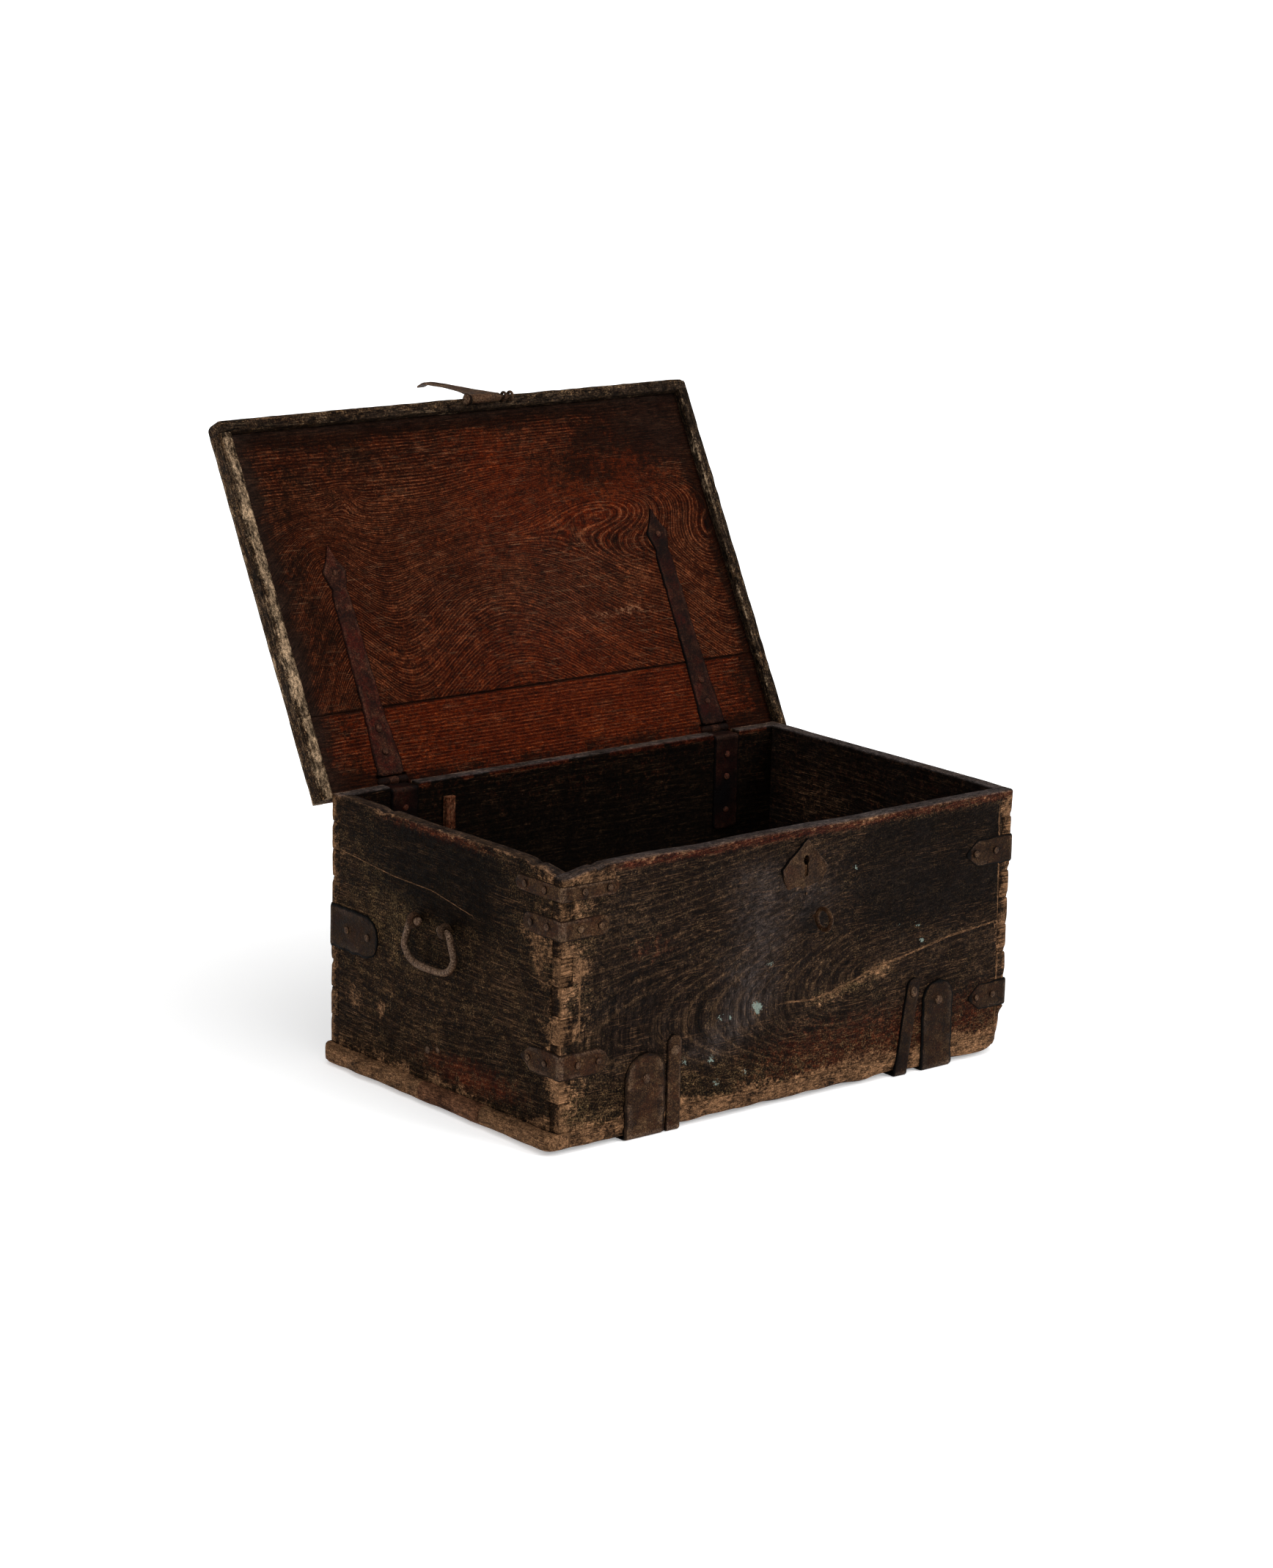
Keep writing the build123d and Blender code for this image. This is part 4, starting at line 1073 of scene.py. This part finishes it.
ACROSS = np.array([-1, -0.92, -0.85, -0.55, -0.25, 0, 0.25, 0.55, 0.85, 0.92, 1])
THROUGH = np.array([0.0, 0.6, 1.0])


def lengths(route):
    """How far along a route each of its points lies."""
    return np.concatenate([[0], np.cumsum(np.linalg.norm(np.diff(route, axis=0), axis=1))])


def resample(route, step, *others):
    """A route with points at even steps, and any values that go with its points."""
    far = lengths(route)
    count = max(2, int(far[-1] / step) + 1)
    stops = np.linspace(0, far[-1], count)
    found = []
    for values in (route, *others):
        fields = np.asarray(values, float).reshape(len(route), -1).T
        found.append(np.stack([np.interp(stops, far, field) for field in fields], 1))
    return found if others else found[0]


def unit(vectors):
    """The vectors' directions, each one long."""
    return vectors / np.linalg.norm(vectors, axis=-1, keepdims=True)


def round_end(left, half, shape):
    """How the half width closes up near an end that is the given length away."""
    if shape == "round":
        return np.sqrt(np.clip(1 - (1 - np.clip(left / half, 0, 1)) ** 2, 0.004, 1))
    if shape == "point":
        return np.clip(0.12 + 0.88 * left / (1.1 * half), 0.02, 1)
    return 0.8 + 0.2 * np.clip(left / 2.5, 0, 1)


def strap(route, faces, across, half, thickness, seed, ends=("round", "round"), sunk=2.5):
    """A hand-forged strap laid along a route. The route is its outer face's middle line."""
    route, faces = resample(np.asarray(route, float), 3.0, faces)
    faces = unit(faces)
    far = lengths(route)
    p, quads = block(np.arange(len(route), dtype=float), ACROSS, THROUGH)
    step = p[:, 0].astype(int)
    v, w = p[:, 1], p[:, 2]
    s = far[step]
    width = half(s) if callable(half) else np.full(len(s), float(half))
    broad = width.max()
    shape = round_end(s, broad, ends[0]) * round_end(far[-1] - s, broad, ends[1])
    line = np.stack([s, v * broad, w], 1)
    ragged = 1 + 0.05 * noise(np.stack([s, np.sign(v) * 50, 0 * s], 1), 11, seed)
    ragged += 0.03 * noise(np.stack([s, np.sign(v) * 50, 0 * s], 1), 4, seed + 1)
    lower = 0.5 * thickness * ramp(np.abs(v), 0.86, 1.0) * w
    dents = (0.3 * rough(line, 14, seed + 2) + 0.35 * rough(line, (60, 60, 60), seed + 3)) * w
    level = dents - lower - (1 - w) * (thickness + sunk)
    placed = route[step] + across * (v * width * shape * ragged)[:, None] + faces[step] * level[:, None]
    turn = np.linalg.norm(np.gradient(faces, axis=0), axis=1)[step]
    rubbed = 0.5 * (turn > 0.05) + 0.4 * (np.abs(v) > 0.8) * (noise(line, 16, seed + 5) > 0)
    # the strap's sides and underside are painted dark as shade and its outer rim as a shadow line; bends and
    # the band inside the rim are rubbed
    wear = np.where(w < 0.8, -0.95, np.where((np.abs(v) > 0.9) | (shape < 0.5), -0.55, rubbed))
    return placed, quads, wear


def tube(route, radius, sides=14, closed=False, seed=0, flatten=1.0, uneven=0.05):
    """A forged bar along a route, with rounded ends unless it closes on itself."""
    route = np.asarray(route, float)
    radius = np.broadcast_to(radius, len(route)).astype(float)
    beyond = np.roll(route, -1, 0) - np.roll(route, 1, 0)
    tangent = unit(beyond if closed else np.gradient(route, axis=0))
    if not closed:
        cap = [(-0.98, 0.2), (-0.8, 0.6), (-0.4, 0.92)]
        start = [route[0] + tangent[0] * radius[0] * (a + 0.4) for a, _ in cap]
        end = [route[-1] - tangent[-1] * radius[-1] * (a + 0.4) for a, _ in cap[::-1]]
        radius = np.concatenate([
            [radius[0] * b for _, b in cap], radius[1:-1], [radius[-1] * b for _, b in cap[::-1]]])
        tangent = np.concatenate([[tangent[0]] * 3, tangent[1:-1], [tangent[-1]] * 3])
        route = np.concatenate([start, route[1:-1], end])
    side = unit(np.cross(tangent[0], (0.31, 0.52, 0.79)))
    points = []
    for place, ahead, size in zip(route, tangent, radius):
        side = unit(side - ahead * (side @ ahead))
        other = np.cross(ahead, side)
        turn = np.arange(sides) * 2 * pi / sides
        ring = np.cos(turn)[:, None] * side + flatten * np.sin(turn)[:, None] * other
        points.append(place + size * ring)
    points = np.array(points)
    middle = route[:, None]
    wobble = 1 + uneven * rough(points.reshape(-1, 3), 9, seed).reshape(points.shape[:2] + (1,))
    points = (middle + (points - middle) * wobble).reshape(-1, 3)
    rows = len(route)
    quads = []
    for row in range(rows if closed else rows - 1):
        after = (row + 1) % rows
        shift = 0
        if closed and after == 0:
            gaps = np.linalg.norm(points[:sides] - points[row * sides], axis=1)
            shift = int(np.argmin(gaps))
        for n in range(sides):
            m = (n + 1) % sides
            near, far_side = (n + shift) % sides, (m + shift) % sides
            quads.append([row * sides + n, row * sides + m, after * sides + far_side, after * sides + near])
    if not closed:
        quads.append(list(range(sides))[::-1])
        quads.append([(rows - 1) * sides + n for n in range(sides)])
    return points, quads, np.full(len(points), 0.25)


def ring_route(middle, radius, first, second, count=28):
    """Points round a circle or, with two radii, an oval."""
    turn = np.arange(count) * 2 * pi / count
    a, b = np.broadcast_to(radius, 2)
    return np.array(middle) + a * np.outer(np.cos(turn), first) + b * np.outer(np.sin(turn), second)


def bent(corners, radius, step=2.0):
    """A route through corners, each turned smoothly."""
    corners = [np.array(corner, float) for corner in corners]
    route = [corners[0]]
    for before, corner, after in zip(corners, corners[1:], corners[2:]):
        back, ahead = before - corner, after - corner
        reach = min(radius, 0.48 * np.linalg.norm(back), 0.48 * np.linalg.norm(ahead))
        start, end = corner + unit(back) * reach, corner + unit(ahead) * reach
        for t in np.linspace(0, 1, 8):
            route.append((1 - t) ** 2 * start + 2 * t * (1 - t) * corner + t**2 * end)
    route.append(corners[-1])
    return resample(np.array(route), step)


def domes(places, radius, height, seed, shine=1.0):
    """Hammered nail heads: each place is a point and the direction its head faces."""
    parts = []
    for number, (place, facing) in enumerate(places):
        chance = np.random.default_rng(seed + number)
        facing = unit(np.array(facing) + 0.12 * chance.uniform(-1, 1, 3))
        side = unit(np.cross(facing, (0.3, 0.5, 0.8)))
        other = np.cross(facing, side)
        wide = radius * chance.uniform(0.88, 1.12)
        points = [np.array(place) + facing * height]
        sides = 14
        for share, rise in ((0.35, 0.97), (0.62, 0.82), (0.84, 0.5), (0.97, 0.14), (1.0, -0.5), (0.99, -1.4)):
            turn = np.arange(sides) * 2 * pi / sides
            out = wide * share * (1 + 0.08 * np.sin(2 * turn + 6 * chance.random()) * (share > 0.8))
            level = height * rise * (1 + 0.12 * np.sin(turn + number))
            points += list(place + np.outer(out * np.cos(turn), side) + np.outer(out * np.sin(turn), other)
                           + np.outer(level, facing))
        faces = [[0, 1 + n, 1 + (n + 1) % sides] for n in range(sides)]
        for row in range(5):
            start = 1 + row * sides
            for n in range(sides):
                m = (n + 1) % sides
                faces.append([start + n, start + sides + n, start + sides + m, start + m])
        faces.append([1 + 5 * sides + n for n in range(sides)][::-1])
        # each head is painted as if lit: a highlight on its crown fading outwards, and painted shade round
        # the rim where it meets the wood
        rubbed = [0.8 * shine, 0.7 * shine, 0.6 * shine, -0.8, -0.9, -0.9]
        wear = np.concatenate([[0.8 * shine], np.repeat(rubbed, sides)])
        parts.append((np.array(points), faces, wear))
    return parts


def join(parts):
    """Several parts' points, faces and wear as one."""
    offset = 0
    faces = []
    for points, part_faces, _ in parts:
        faces += [[index + offset for index in face] for face in part_faces]
        offset += len(points)
    return np.concatenate([part[0] for part in parts]), faces, np.concatenate([part[2] for part in parts])


def iron_piece(name, parts, body, nodes, slot="wrought_iron", stain=0.0):
    """Make one object of several parts. Wear below nothing is painted shade, drawn dark along with the soot
    stain.
    """
    points, faces, wear = join(parts)
    soot_and_shade = np.clip(stain * (1 + 0.8 * rough(points, 50, 499)) - wear * (wear < 0), 0, 1)
    piece(name, points, faces, slot, body, nodes, look=look_of(wear, soot_and_shade, 0, 0))


def nail_heads(node):
    """Where each nail of a node has its head's underside, and the way the head faces."""
    mesh = bmesh.new()
    mesh.from_mesh(frame["nodes"][node].data)
    bmesh.ops.remove_doubles(mesh, verts=mesh.verts, dist=1e-6)
    waiting = set(mesh.verts)
    found = []
    while waiting:
        island = [waiting.pop()]
        for vertex in island:
            for edge in vertex.link_edges:
                other = edge.other_vert(vertex)
                if other in waiting:
                    waiting.remove(other)
                    island.append(other)
        points = np.array([vertex.co for vertex in island]) / MM
        middle = points.mean(0)
        direction = np.linalg.svd(points - middle)[2][0]
        along = (points - middle) @ direction
        away = np.linalg.norm(points - middle - np.outer(along, direction), axis=1)
        widest = points[away > 0.93 * away.max()]
        sign = np.sign(((widest - middle) @ direction).mean())
        found.append((widest.mean(0), sign * direction))
    mesh.free()
    found.sort(key=lambda item: tuple(np.round(item[0], 1)))
    return found


def corner_strap(node, seed, half_shape):
    """A strap bent round a standing corner of the box."""
    low, high = box(node)
    sx, sy = np.sign(low[0] + high[0]), np.sign(low[1] + high[1])
    corner = np.where([sx > 0, sy > 0], high[:2], low[:2])
    reach = (high - low)[:2]
    z = (low[2] + high[2]) / 2
    bend = 5.0
    route = [(corner[0] - sx * reach[0], corner[1]), (corner[0] - sx * bend, corner[1])]
    faces = [(0, sy, 0), (0, sy, 0)]
    for turn in np.linspace(0.15, 0.85, 5) * pi / 2:
        route.append((corner[0] - sx * bend * (1 - sin(turn)), corner[1] - sy * bend * (1 - cos(turn))))
        faces.append((sx * sin(turn), sy * cos(turn), 0))
    route += [(corner[0], corner[1] - sy * bend), (corner[0], corner[1] - sy * reach[1])]
    faces += [(sx, 0, 0), (sx, 0, 0)]
    route = np.array([(x, y, z) for x, y in route]) - 0.9 * np.array(faces)
    part = strap(route, faces, np.array([0, 0, 1.0]), (high[2] - low[2]) / 2, 2.0, seed, half_shape)
    iron_piece(node + "_iron", [part], "chest", [node], stain=0.1 if "front_left" in node else 0.5)


corner_ends = {
    "corner_strap_front_left_top": ("point", "round"),
    "corner_strap_front_left_middle": ("round", "round"),
    "corner_strap_front_left_bottom": ("round", "point"),
    "corner_strap_front_right_upper": ("point", "round"),
    "corner_strap_front_right_lower": ("point", "round"),
    "corner_strap_back_left": ("round", "round"),
    "corner_strap_back_right": ("round", "round"),
}
for number, (node, half_shape) in enumerate(corner_ends.items()):
    corner_strap(node, 200 + 7 * number, half_shape)


leaning_width = 22.0


def base_strap(node, seed):
    """A strap from its round top on the front down and under the base."""
    low, high = box(node)
    leaning = "right_narrow" in node
    half = (leaning_width if leaning else high[0] - low[0]) / 2
    top = high[0] - half if leaning else (low[0] + high[0]) / 2
    foot = low[0] + half if leaning else top
    outer = low[1]
    bend = 4.0
    route = [(top, outer, high[2]), (foot, outer, bend)]
    faces = [(0, -1, 0), (0, -1, 0)]
    for turn in np.linspace(0.2, 0.8, 4) * pi / 2:
        route.append((foot, outer + bend * (1 - cos(turn)), bend * (1 - sin(turn))))
        faces.append((0, -cos(turn), -sin(turn)))
    route += [(foot, outer + bend, 0.2), (foot, high[1], 0.2)]
    faces += [(0, 0, -1), (0, 0, -1)]
    part = strap(route, faces, np.array([1.0, 0, 0]), half, 2.5, seed, ("round", "square"), 1.0)
    part[0][:, 2] = np.maximum(part[0][:, 2], 0.0)
    iron_piece(node + "_iron", [part], "chest", [node], stain=0.55 if "right" in node else 0.1)


for number, node in enumerate(n for n in frame["nodes"] if n.startswith("base_strap_") and "nails" not in n):
    base_strap(node, 260 + 5 * number)

for node, body, slot, size, rise, seed, shine in (
    ("corner_strap_nails", "chest", "wrought_iron", 4.8, 1.3, 300, 0.4),
    ("base_strap_nails", "chest", "wrought_iron", 7.0, 2.2, 300, 0.5),
    ("left_side_nails", "chest", "wrought_iron", 4.6, 1.0, 300, 0.6),
    ("escutcheon_nails", "chest", "wrought_iron", 2.0, 0.9, 300, 0.6),
    ("body_leaf_nails", "chest", "hinge_iron", 5.4, 1.6, 340, 0.5),
    ("lid_leaf_nails", "lid", "hinge_iron", 5.4, 1.6, 340, 0.5),
):
    iron_piece(node + "_heads", domes(nail_heads(node), size, rise, seed, shine), body, [node], slot)


def escutcheon():
    """A thin worn plate round the keyhole, its edge curling off the wood."""
    face = box("escutcheon")[0][1]
    head = np.array([KEYHOLE, 314.0])
    outline = [(13, 342), (0, 331), (-16, 318), (-28, 307), (-22, 290), (-14, 278), (0, 270), (15, 264),
               (28, 270), (40, 280), (50, 302), (38, 315), (26, 328)]
    outline = resample(np.array([*outline, outline[0]], float), 2.2)[:-1] - head
    angle = np.arctan2(outline[:, 1], outline[:, 0])
    order = np.argsort(angle)
    outline, angle = outline[order], angle[order]
    hole = []
    for turn in angle:
        ray = np.array([cos(turn), sin(turn)])
        reach = 1 / np.hypot(ray[0] / 4.8, ray[1] / 6.6)
        slot = 3.2 / max(abs(ray[0]), 1e-6)
        if ray[1] < 0 and slot > reach:
            reach = min(slot, (head[1] - key_foot) / -ray[1])
        hole.append(ray * reach)
    hole = np.array(hole)
    rings = (0, 0.03, 0.3, 0.6, 0.85, 0.96, 1.0)
    count = len(outline)
    flat_points = np.array([hole + share * (outline - hole) for share in rings]).reshape(-1, 2) + head
    share = np.repeat(rings, count)
    x, z = flat_points.T
    line = np.stack([x, 0 * x, z], 1)
    curled = ramp(0.8 * (z - head[1]) + 0.6 * np.abs(x - head[0]), 6, 14)
    lift = 0.9 * rough(line, 13, 401) + (share > 0.9) * (0.4 + 1.6 * curled + 0.6 * noise(line, 18, 402))
    lift -= 0.5 * (share == 1) + 2.8 * ramp(z, 296, 270)
    x = x + 1.2 * noise(line, 8, 403) * (share > 0.9)
    z = z + 1.2 * noise(line, 8, 404) * (share > 0.9)
    top = np.stack([x, face - lift, z], 1)
    under = np.stack([x, face + 3.0 + 0 * x, z], 1)
    points = np.concatenate([top, under])
    rows = len(rings)
    quads = []
    for row in range(rows - 1):
        for n in range(count):
            m = (n + 1) % count
            a, b, c, d = row * count + n, row * count + m, (row + 1) * count + m, (row + 1) * count + n
            quads.append([a, b, c, d])
            quads.append([rows * count + v for v in (d, c, b, a)])
    for row, flip in ((0, True), (rows - 1, False)):
        for n in range(count):
            m = (n + 1) % count
            wall_quad = [row * count + n, row * count + m, (rows + row) * count + m, (rows + row) * count + n]
            quads.append(wall_quad[::-1] if flip else wall_quad)
    # a painted shadow line at the outer rim where the edge curls up, a rubbed band just inside it, and
    # painted shade on the underside
    edge = (share > 0.9) * np.where(share == 1, -0.9 * curled, 0.5 * curled)
    wear = np.concatenate([0.12 + edge, 0 * share - 0.9])
    iron_piece("escutcheon_plate", [(points, quads, wear)], "chest", ["escutcheon"], stain=0.25)


escutcheon()


def staple():
    """The worn ring on the front that the hasp's slot drops over."""
    low, high = box("hasp_staple")
    middle = np.array([(low[0] + high[0]) / 2, low[1] + (high[2] - low[2]) / 2, (low[2] + high[2]) / 2])
    radius = (high[2] - low[2]) / 2 - 2
    ring = tube(ring_route(middle, radius - 0.6, (0, 1, 0), (0, 0, 1)), 2.9, 12, True, 411, uneven=0.08)
    # the ring is painted with a highlight on its right side and painted shade on its left
    ring = (ring[0], ring[1], 0.75 * ramp(ring[0][:, 0], middle[0] - 1, middle[0] + 2) - 0.2)
    behind = [middle + (0, radius + along, 0) for along in (-1, 3)]
    shank = tube([*behind, (middle[0], high[1], middle[2])], 2.4, 10)
    iron_piece("staple_ring", [ring, shank], "chest", ["hasp_staple"])


staple()


def handle(side, name):
    """A forged bail whose ends turn in through two wrapped eyes and end in stubs."""
    low, high = box(name)
    x = (low[0] + high[0]) / 2
    y = (low[1] + high[1]) / 2
    thick = (high[0] - low[0]) / 2
    z = joints[name + "_swing"]["pos_m"][2] / MM
    eyes = [box(f"{name}_eye_{end}") for end in ("front", "back")]
    eye_y = [(a[1] + b[1]) / 2 for a, b in eyes]
    half = (high[1] - low[1]) / 2 - thick
    drop = z - low[2] - thick
    inward = 11.0
    corners = [(x, eye_y[0] + inward, z), (x, eye_y[0] - 8, z)]
    for turn in np.linspace(0.4, pi - 0.4, 18):
        across = -cos(turn) * abs(cos(turn)) ** -0.42
        corners.append((x, y + half * across, z - drop * sin(turn) ** 0.55))
    corners += [(x, eye_y[1] + 8, z), (x, eye_y[1] - inward, z)]
    route = bent(corners, 22)
    far = lengths(route)
    ends = np.minimum(far, far[-1] - far)
    radius = thick - 1.0 * bump(ends, 13, 7) + 1.2 * bump(ends, 2, 4) + 0.25 * np.sin(far / 9)
    points, faces, _ = tube(route, radius, 16, seed=421, uneven=0.1)
    rings = points.reshape(-1, 16, 3)
    # the bail is painted lit on the side facing up and out, with painted shade beneath
    painted_light = (unit(rings - rings.mean(1, keepdims=True)) @ (0.6 * side, 0, 0.8)).ravel()
    wear = 0.55 + 0.7 * painted_light + 0.1 * noise(points, 12, 422)
    iron_piece(name + "_bail", [(points, faces, wear)], name, [name])
    for (a, b), end in zip(eyes, ("front", "back")):
        middle = np.array([x, (a[1] + b[1]) / 2, z])
        ring = tube(ring_route(middle, 7.0, (1, 0, 0), (0, 0, 1)), 3.2, 12, True, 431, 1.3, uneven=0.15)
        start = middle - (side * 7.0, 0, 0)
        stop = np.array([a[0] if side > 0 else b[0], middle[1], z])
        shank = tube([start, (start + stop) / 2, stop], 2.8, 10)
        iron_piece(f"{name}_eye_{end}_loop", [ring, shank], "chest", [f"{name}_eye_{end}"], stain=0.25)


handle(-1, "left_handle")
handle(1, "right_handle")

pivot = np.array(joints["hasp_pivot"]["pos_m"]) / MM


def hasp():
    """A rolled barrel and an arm that narrows from it, slotted, to a tip that curls down."""
    low, high = box("hasp")
    barrel_radius = (high[2] - low[2]) / 2
    route = [(x, pivot[1], pivot[2]) for x in np.linspace(low[0] + 1, high[0] - 1, 14)]
    barrel = tube(route, barrel_radius, 18, seed=441, uneven=0.07)
    reach = high[1] - pivot[1]
    us = np.array([-1, -0.93, -0.7, -0.45, -0.25, 0.25, 0.45, 0.7, 0.93, 1])
    vs = np.concatenate([np.linspace(0, 0.55, 20), np.linspace(0.58, 0.85, 20), np.linspace(0.87, 1, 8)])
    slot_start, slot_end = 0.57, 0.83

    def empty(u, v, w):
        return (np.abs(u) < 0.25) & (v > slot_start) & (v < slot_end)

    p, quads = block(us, vs, THROUGH, empty)
    u, v, w = p.T
    left = np.interp(v, (0, 0.1, 0.3, 0.55, 0.7, 0.86, 1), (18, 17, 11, 8, 9.5, 7.5, 5.5))
    right = np.interp(v, (0, 0.1, 0.3, 0.55, 0.7, 0.86, 1), (27, 22, 12, 8, 9.5, 7.5, 5.5))
    half = np.where(u < 0, left, right) * np.sqrt(np.clip((1.006 - v) / 0.03, 0.05, 1))
    inside = (v > slot_start - 0.02) & (v < slot_end + 0.02)
    lens = 0.5 + 3.9 * np.sin(pi * np.clip((v - slot_start) / (slot_end - slot_start), 0, 1)) ** 0.25
    hole = np.where(inside, lens, 0.25 * half)
    size = np.abs(u)
    out = np.where(size <= 0.25, size / 0.25 * hole, hole + (size - 0.25) / 0.75 * (half - hole))
    x = pivot[0] + np.sign(u) * out * (1 + 0.03 * noise(p * (1, 140, 1), 8, 442))
    rise = 2.2 * np.sin(pi * np.clip(v, 0, 1)) - 6.5 * ramp(v, 0.86, 1.0)
    edge = 0.5 * ramp(size, 0.85, 1.0) * w
    dents = 0.3 * rough(columns(x, v * reach, w), 12, 443) * w
    z = pivot[2] + barrel_radius - 3.2 + 3 * w - edge + rise + dents
    points = np.stack([x, pivot[1] + v * (reach + 1), z], 1)
    wear = 0.25 + 0.5 * (size > 0.9)
    iron_piece("hasp_arm", [barrel, (points, quads, wear)], "hasp", ["hasp"])


def hasp_pin_and_eyes():
    """The pin with its coin-like head, and the three eyes that hold it to the lid's lip."""
    low, high = box("hasp_pin")
    disc_radius = (high[2] - low[2]) / 2 + 2.0
    centre = np.array([0, pivot[1], pivot[2]])
    pin = tube([centre + (x, 0, 0) for x in np.linspace(low[0] + 1, high[0], 8)], 2.4, 10)
    disc = domes([(centre + (low[0] + 1.2, 0, 0), (-1, 0, 0))], disc_radius, 2.2, 451)
    iron_piece("hasp_pin_head", [pin, *disc], "lid", ["hasp_pin"])
    parts = []
    for number, x in enumerate(nail_groups("hasp_eye_loops")):
        middle = centre + (x, 0, 0)
        ring = tube(ring_route(middle, 5.4, (0, 1, 0), (0, 0, 1), 20), 2.4, 12, True, 461 + number, 0.8, 0.2)
        top = middle + lid_up * 22
        parts += [ring, tube([middle + lid_up * 4, middle + lid_up * 12, top], 2.0, 8)]
    iron_piece("hasp_eyes", parts, "lid", ["hasp_eye_loops"])


def nail_groups(node):
    """Where along X each separate solid of a node has its middle."""
    xs = np.unique(np.round(node_points(node)[:, 0], 1))
    groups = np.split(xs, np.nonzero(np.diff(xs) > 3.0)[0] + 1)
    return [(group.min() + group.max()) / 2 for group in groups]


hasp()
hasp_pin_and_eyes()


def knuckles(x, numbers, seed):
    """Rolled knuckles round the hinge pin, numbered 0 to 2 from the left."""
    pitch = 14.5
    parts = []
    for number in numbers:
        middle = x + (number - 1) * pitch
        route = [(middle + along, hinge[1], hinge[2]) for along in np.linspace(-6.6, 6.6, 7)]
        parts.append(tube(route, 5.4, 16, seed=seed + number, uneven=0.07))
    return parts


def lid_leaf(node, seed):
    """The long leaf under the lid, tapering to a leaf-shaped tip."""
    low, high = lid_box(node)
    x = (low[0] + high[0]) / 2
    clear = -7.0
    local = (node_points(node) - hinge) @ lid_axes.T
    face = local[local[:, 1] < low[1] + 100, 2].min()
    route = np.array([(x, clear, face), (x, low[1], face)])
    reach = clear - low[1]
    tip = reach - 60

    def half(s):
        stops = (0, 25, 85, tip - 8, tip, tip + 12, tip + 26, tip + 44, reach)
        return np.interp(s, stops, (21, 20, 16, 13.5, 11, 15, 18.5, 7, 0.8))

    ends = ("square", "square")
    placed, quads, wear = strap(route, [(0, 0, -1)] * 2, np.array([1.0, 0, 0]), half, 2.6, seed, ends, 1.0)
    parts = [(on_lid(placed), quads, wear), *knuckles(x, [1], seed)]
    iron_piece(node + "_strap", parts, "lid", [node], "hinge_iron", 0.45 if "right" in node else 0.1)


def body_leaf(node, seed):
    """The short leaf, over the back wall's rim and down its inner face."""
    low, high = box(node)
    x = (low[0] + high[0]) / 2
    top = rim - 2.8
    inner = low[1]
    route = bent([(x, hinge[1] - 4, top - 0.6), (x, inner, top), (x, inner, low[2])], 4, 1.5)
    faces = [
        (0, -1, 0) if point[2] < top - 3 else (0, 0, 1) if point[1] > inner + 3 else (0, -0.7, 0.7)
        for point in route
    ]
    half = (high[0] - low[0]) / 2
    part = strap(route, faces, np.array([1.0, 0, 0]), half, 2.4, seed, ("square", "square"), 1.5)
    iron_piece(node + "_strap", [part, *knuckles(x, [0, 2], seed)], "chest", [node], "hinge_iron", 0.8)


for number, side in enumerate(("left", "right")):
    lid_leaf(f"lid_hinge_leaf_{side}", 471 + number)
    body_leaf(f"body_hinge_leaf_{side}", 481 + number)

for name, node in frame["nodes"].items():
    if not node.hide_render:
        slot = "lock_iron" if name.startswith("lock_") else "hinge_iron"
        node.data.materials.clear()
        node.data.materials.append(materials[slot])
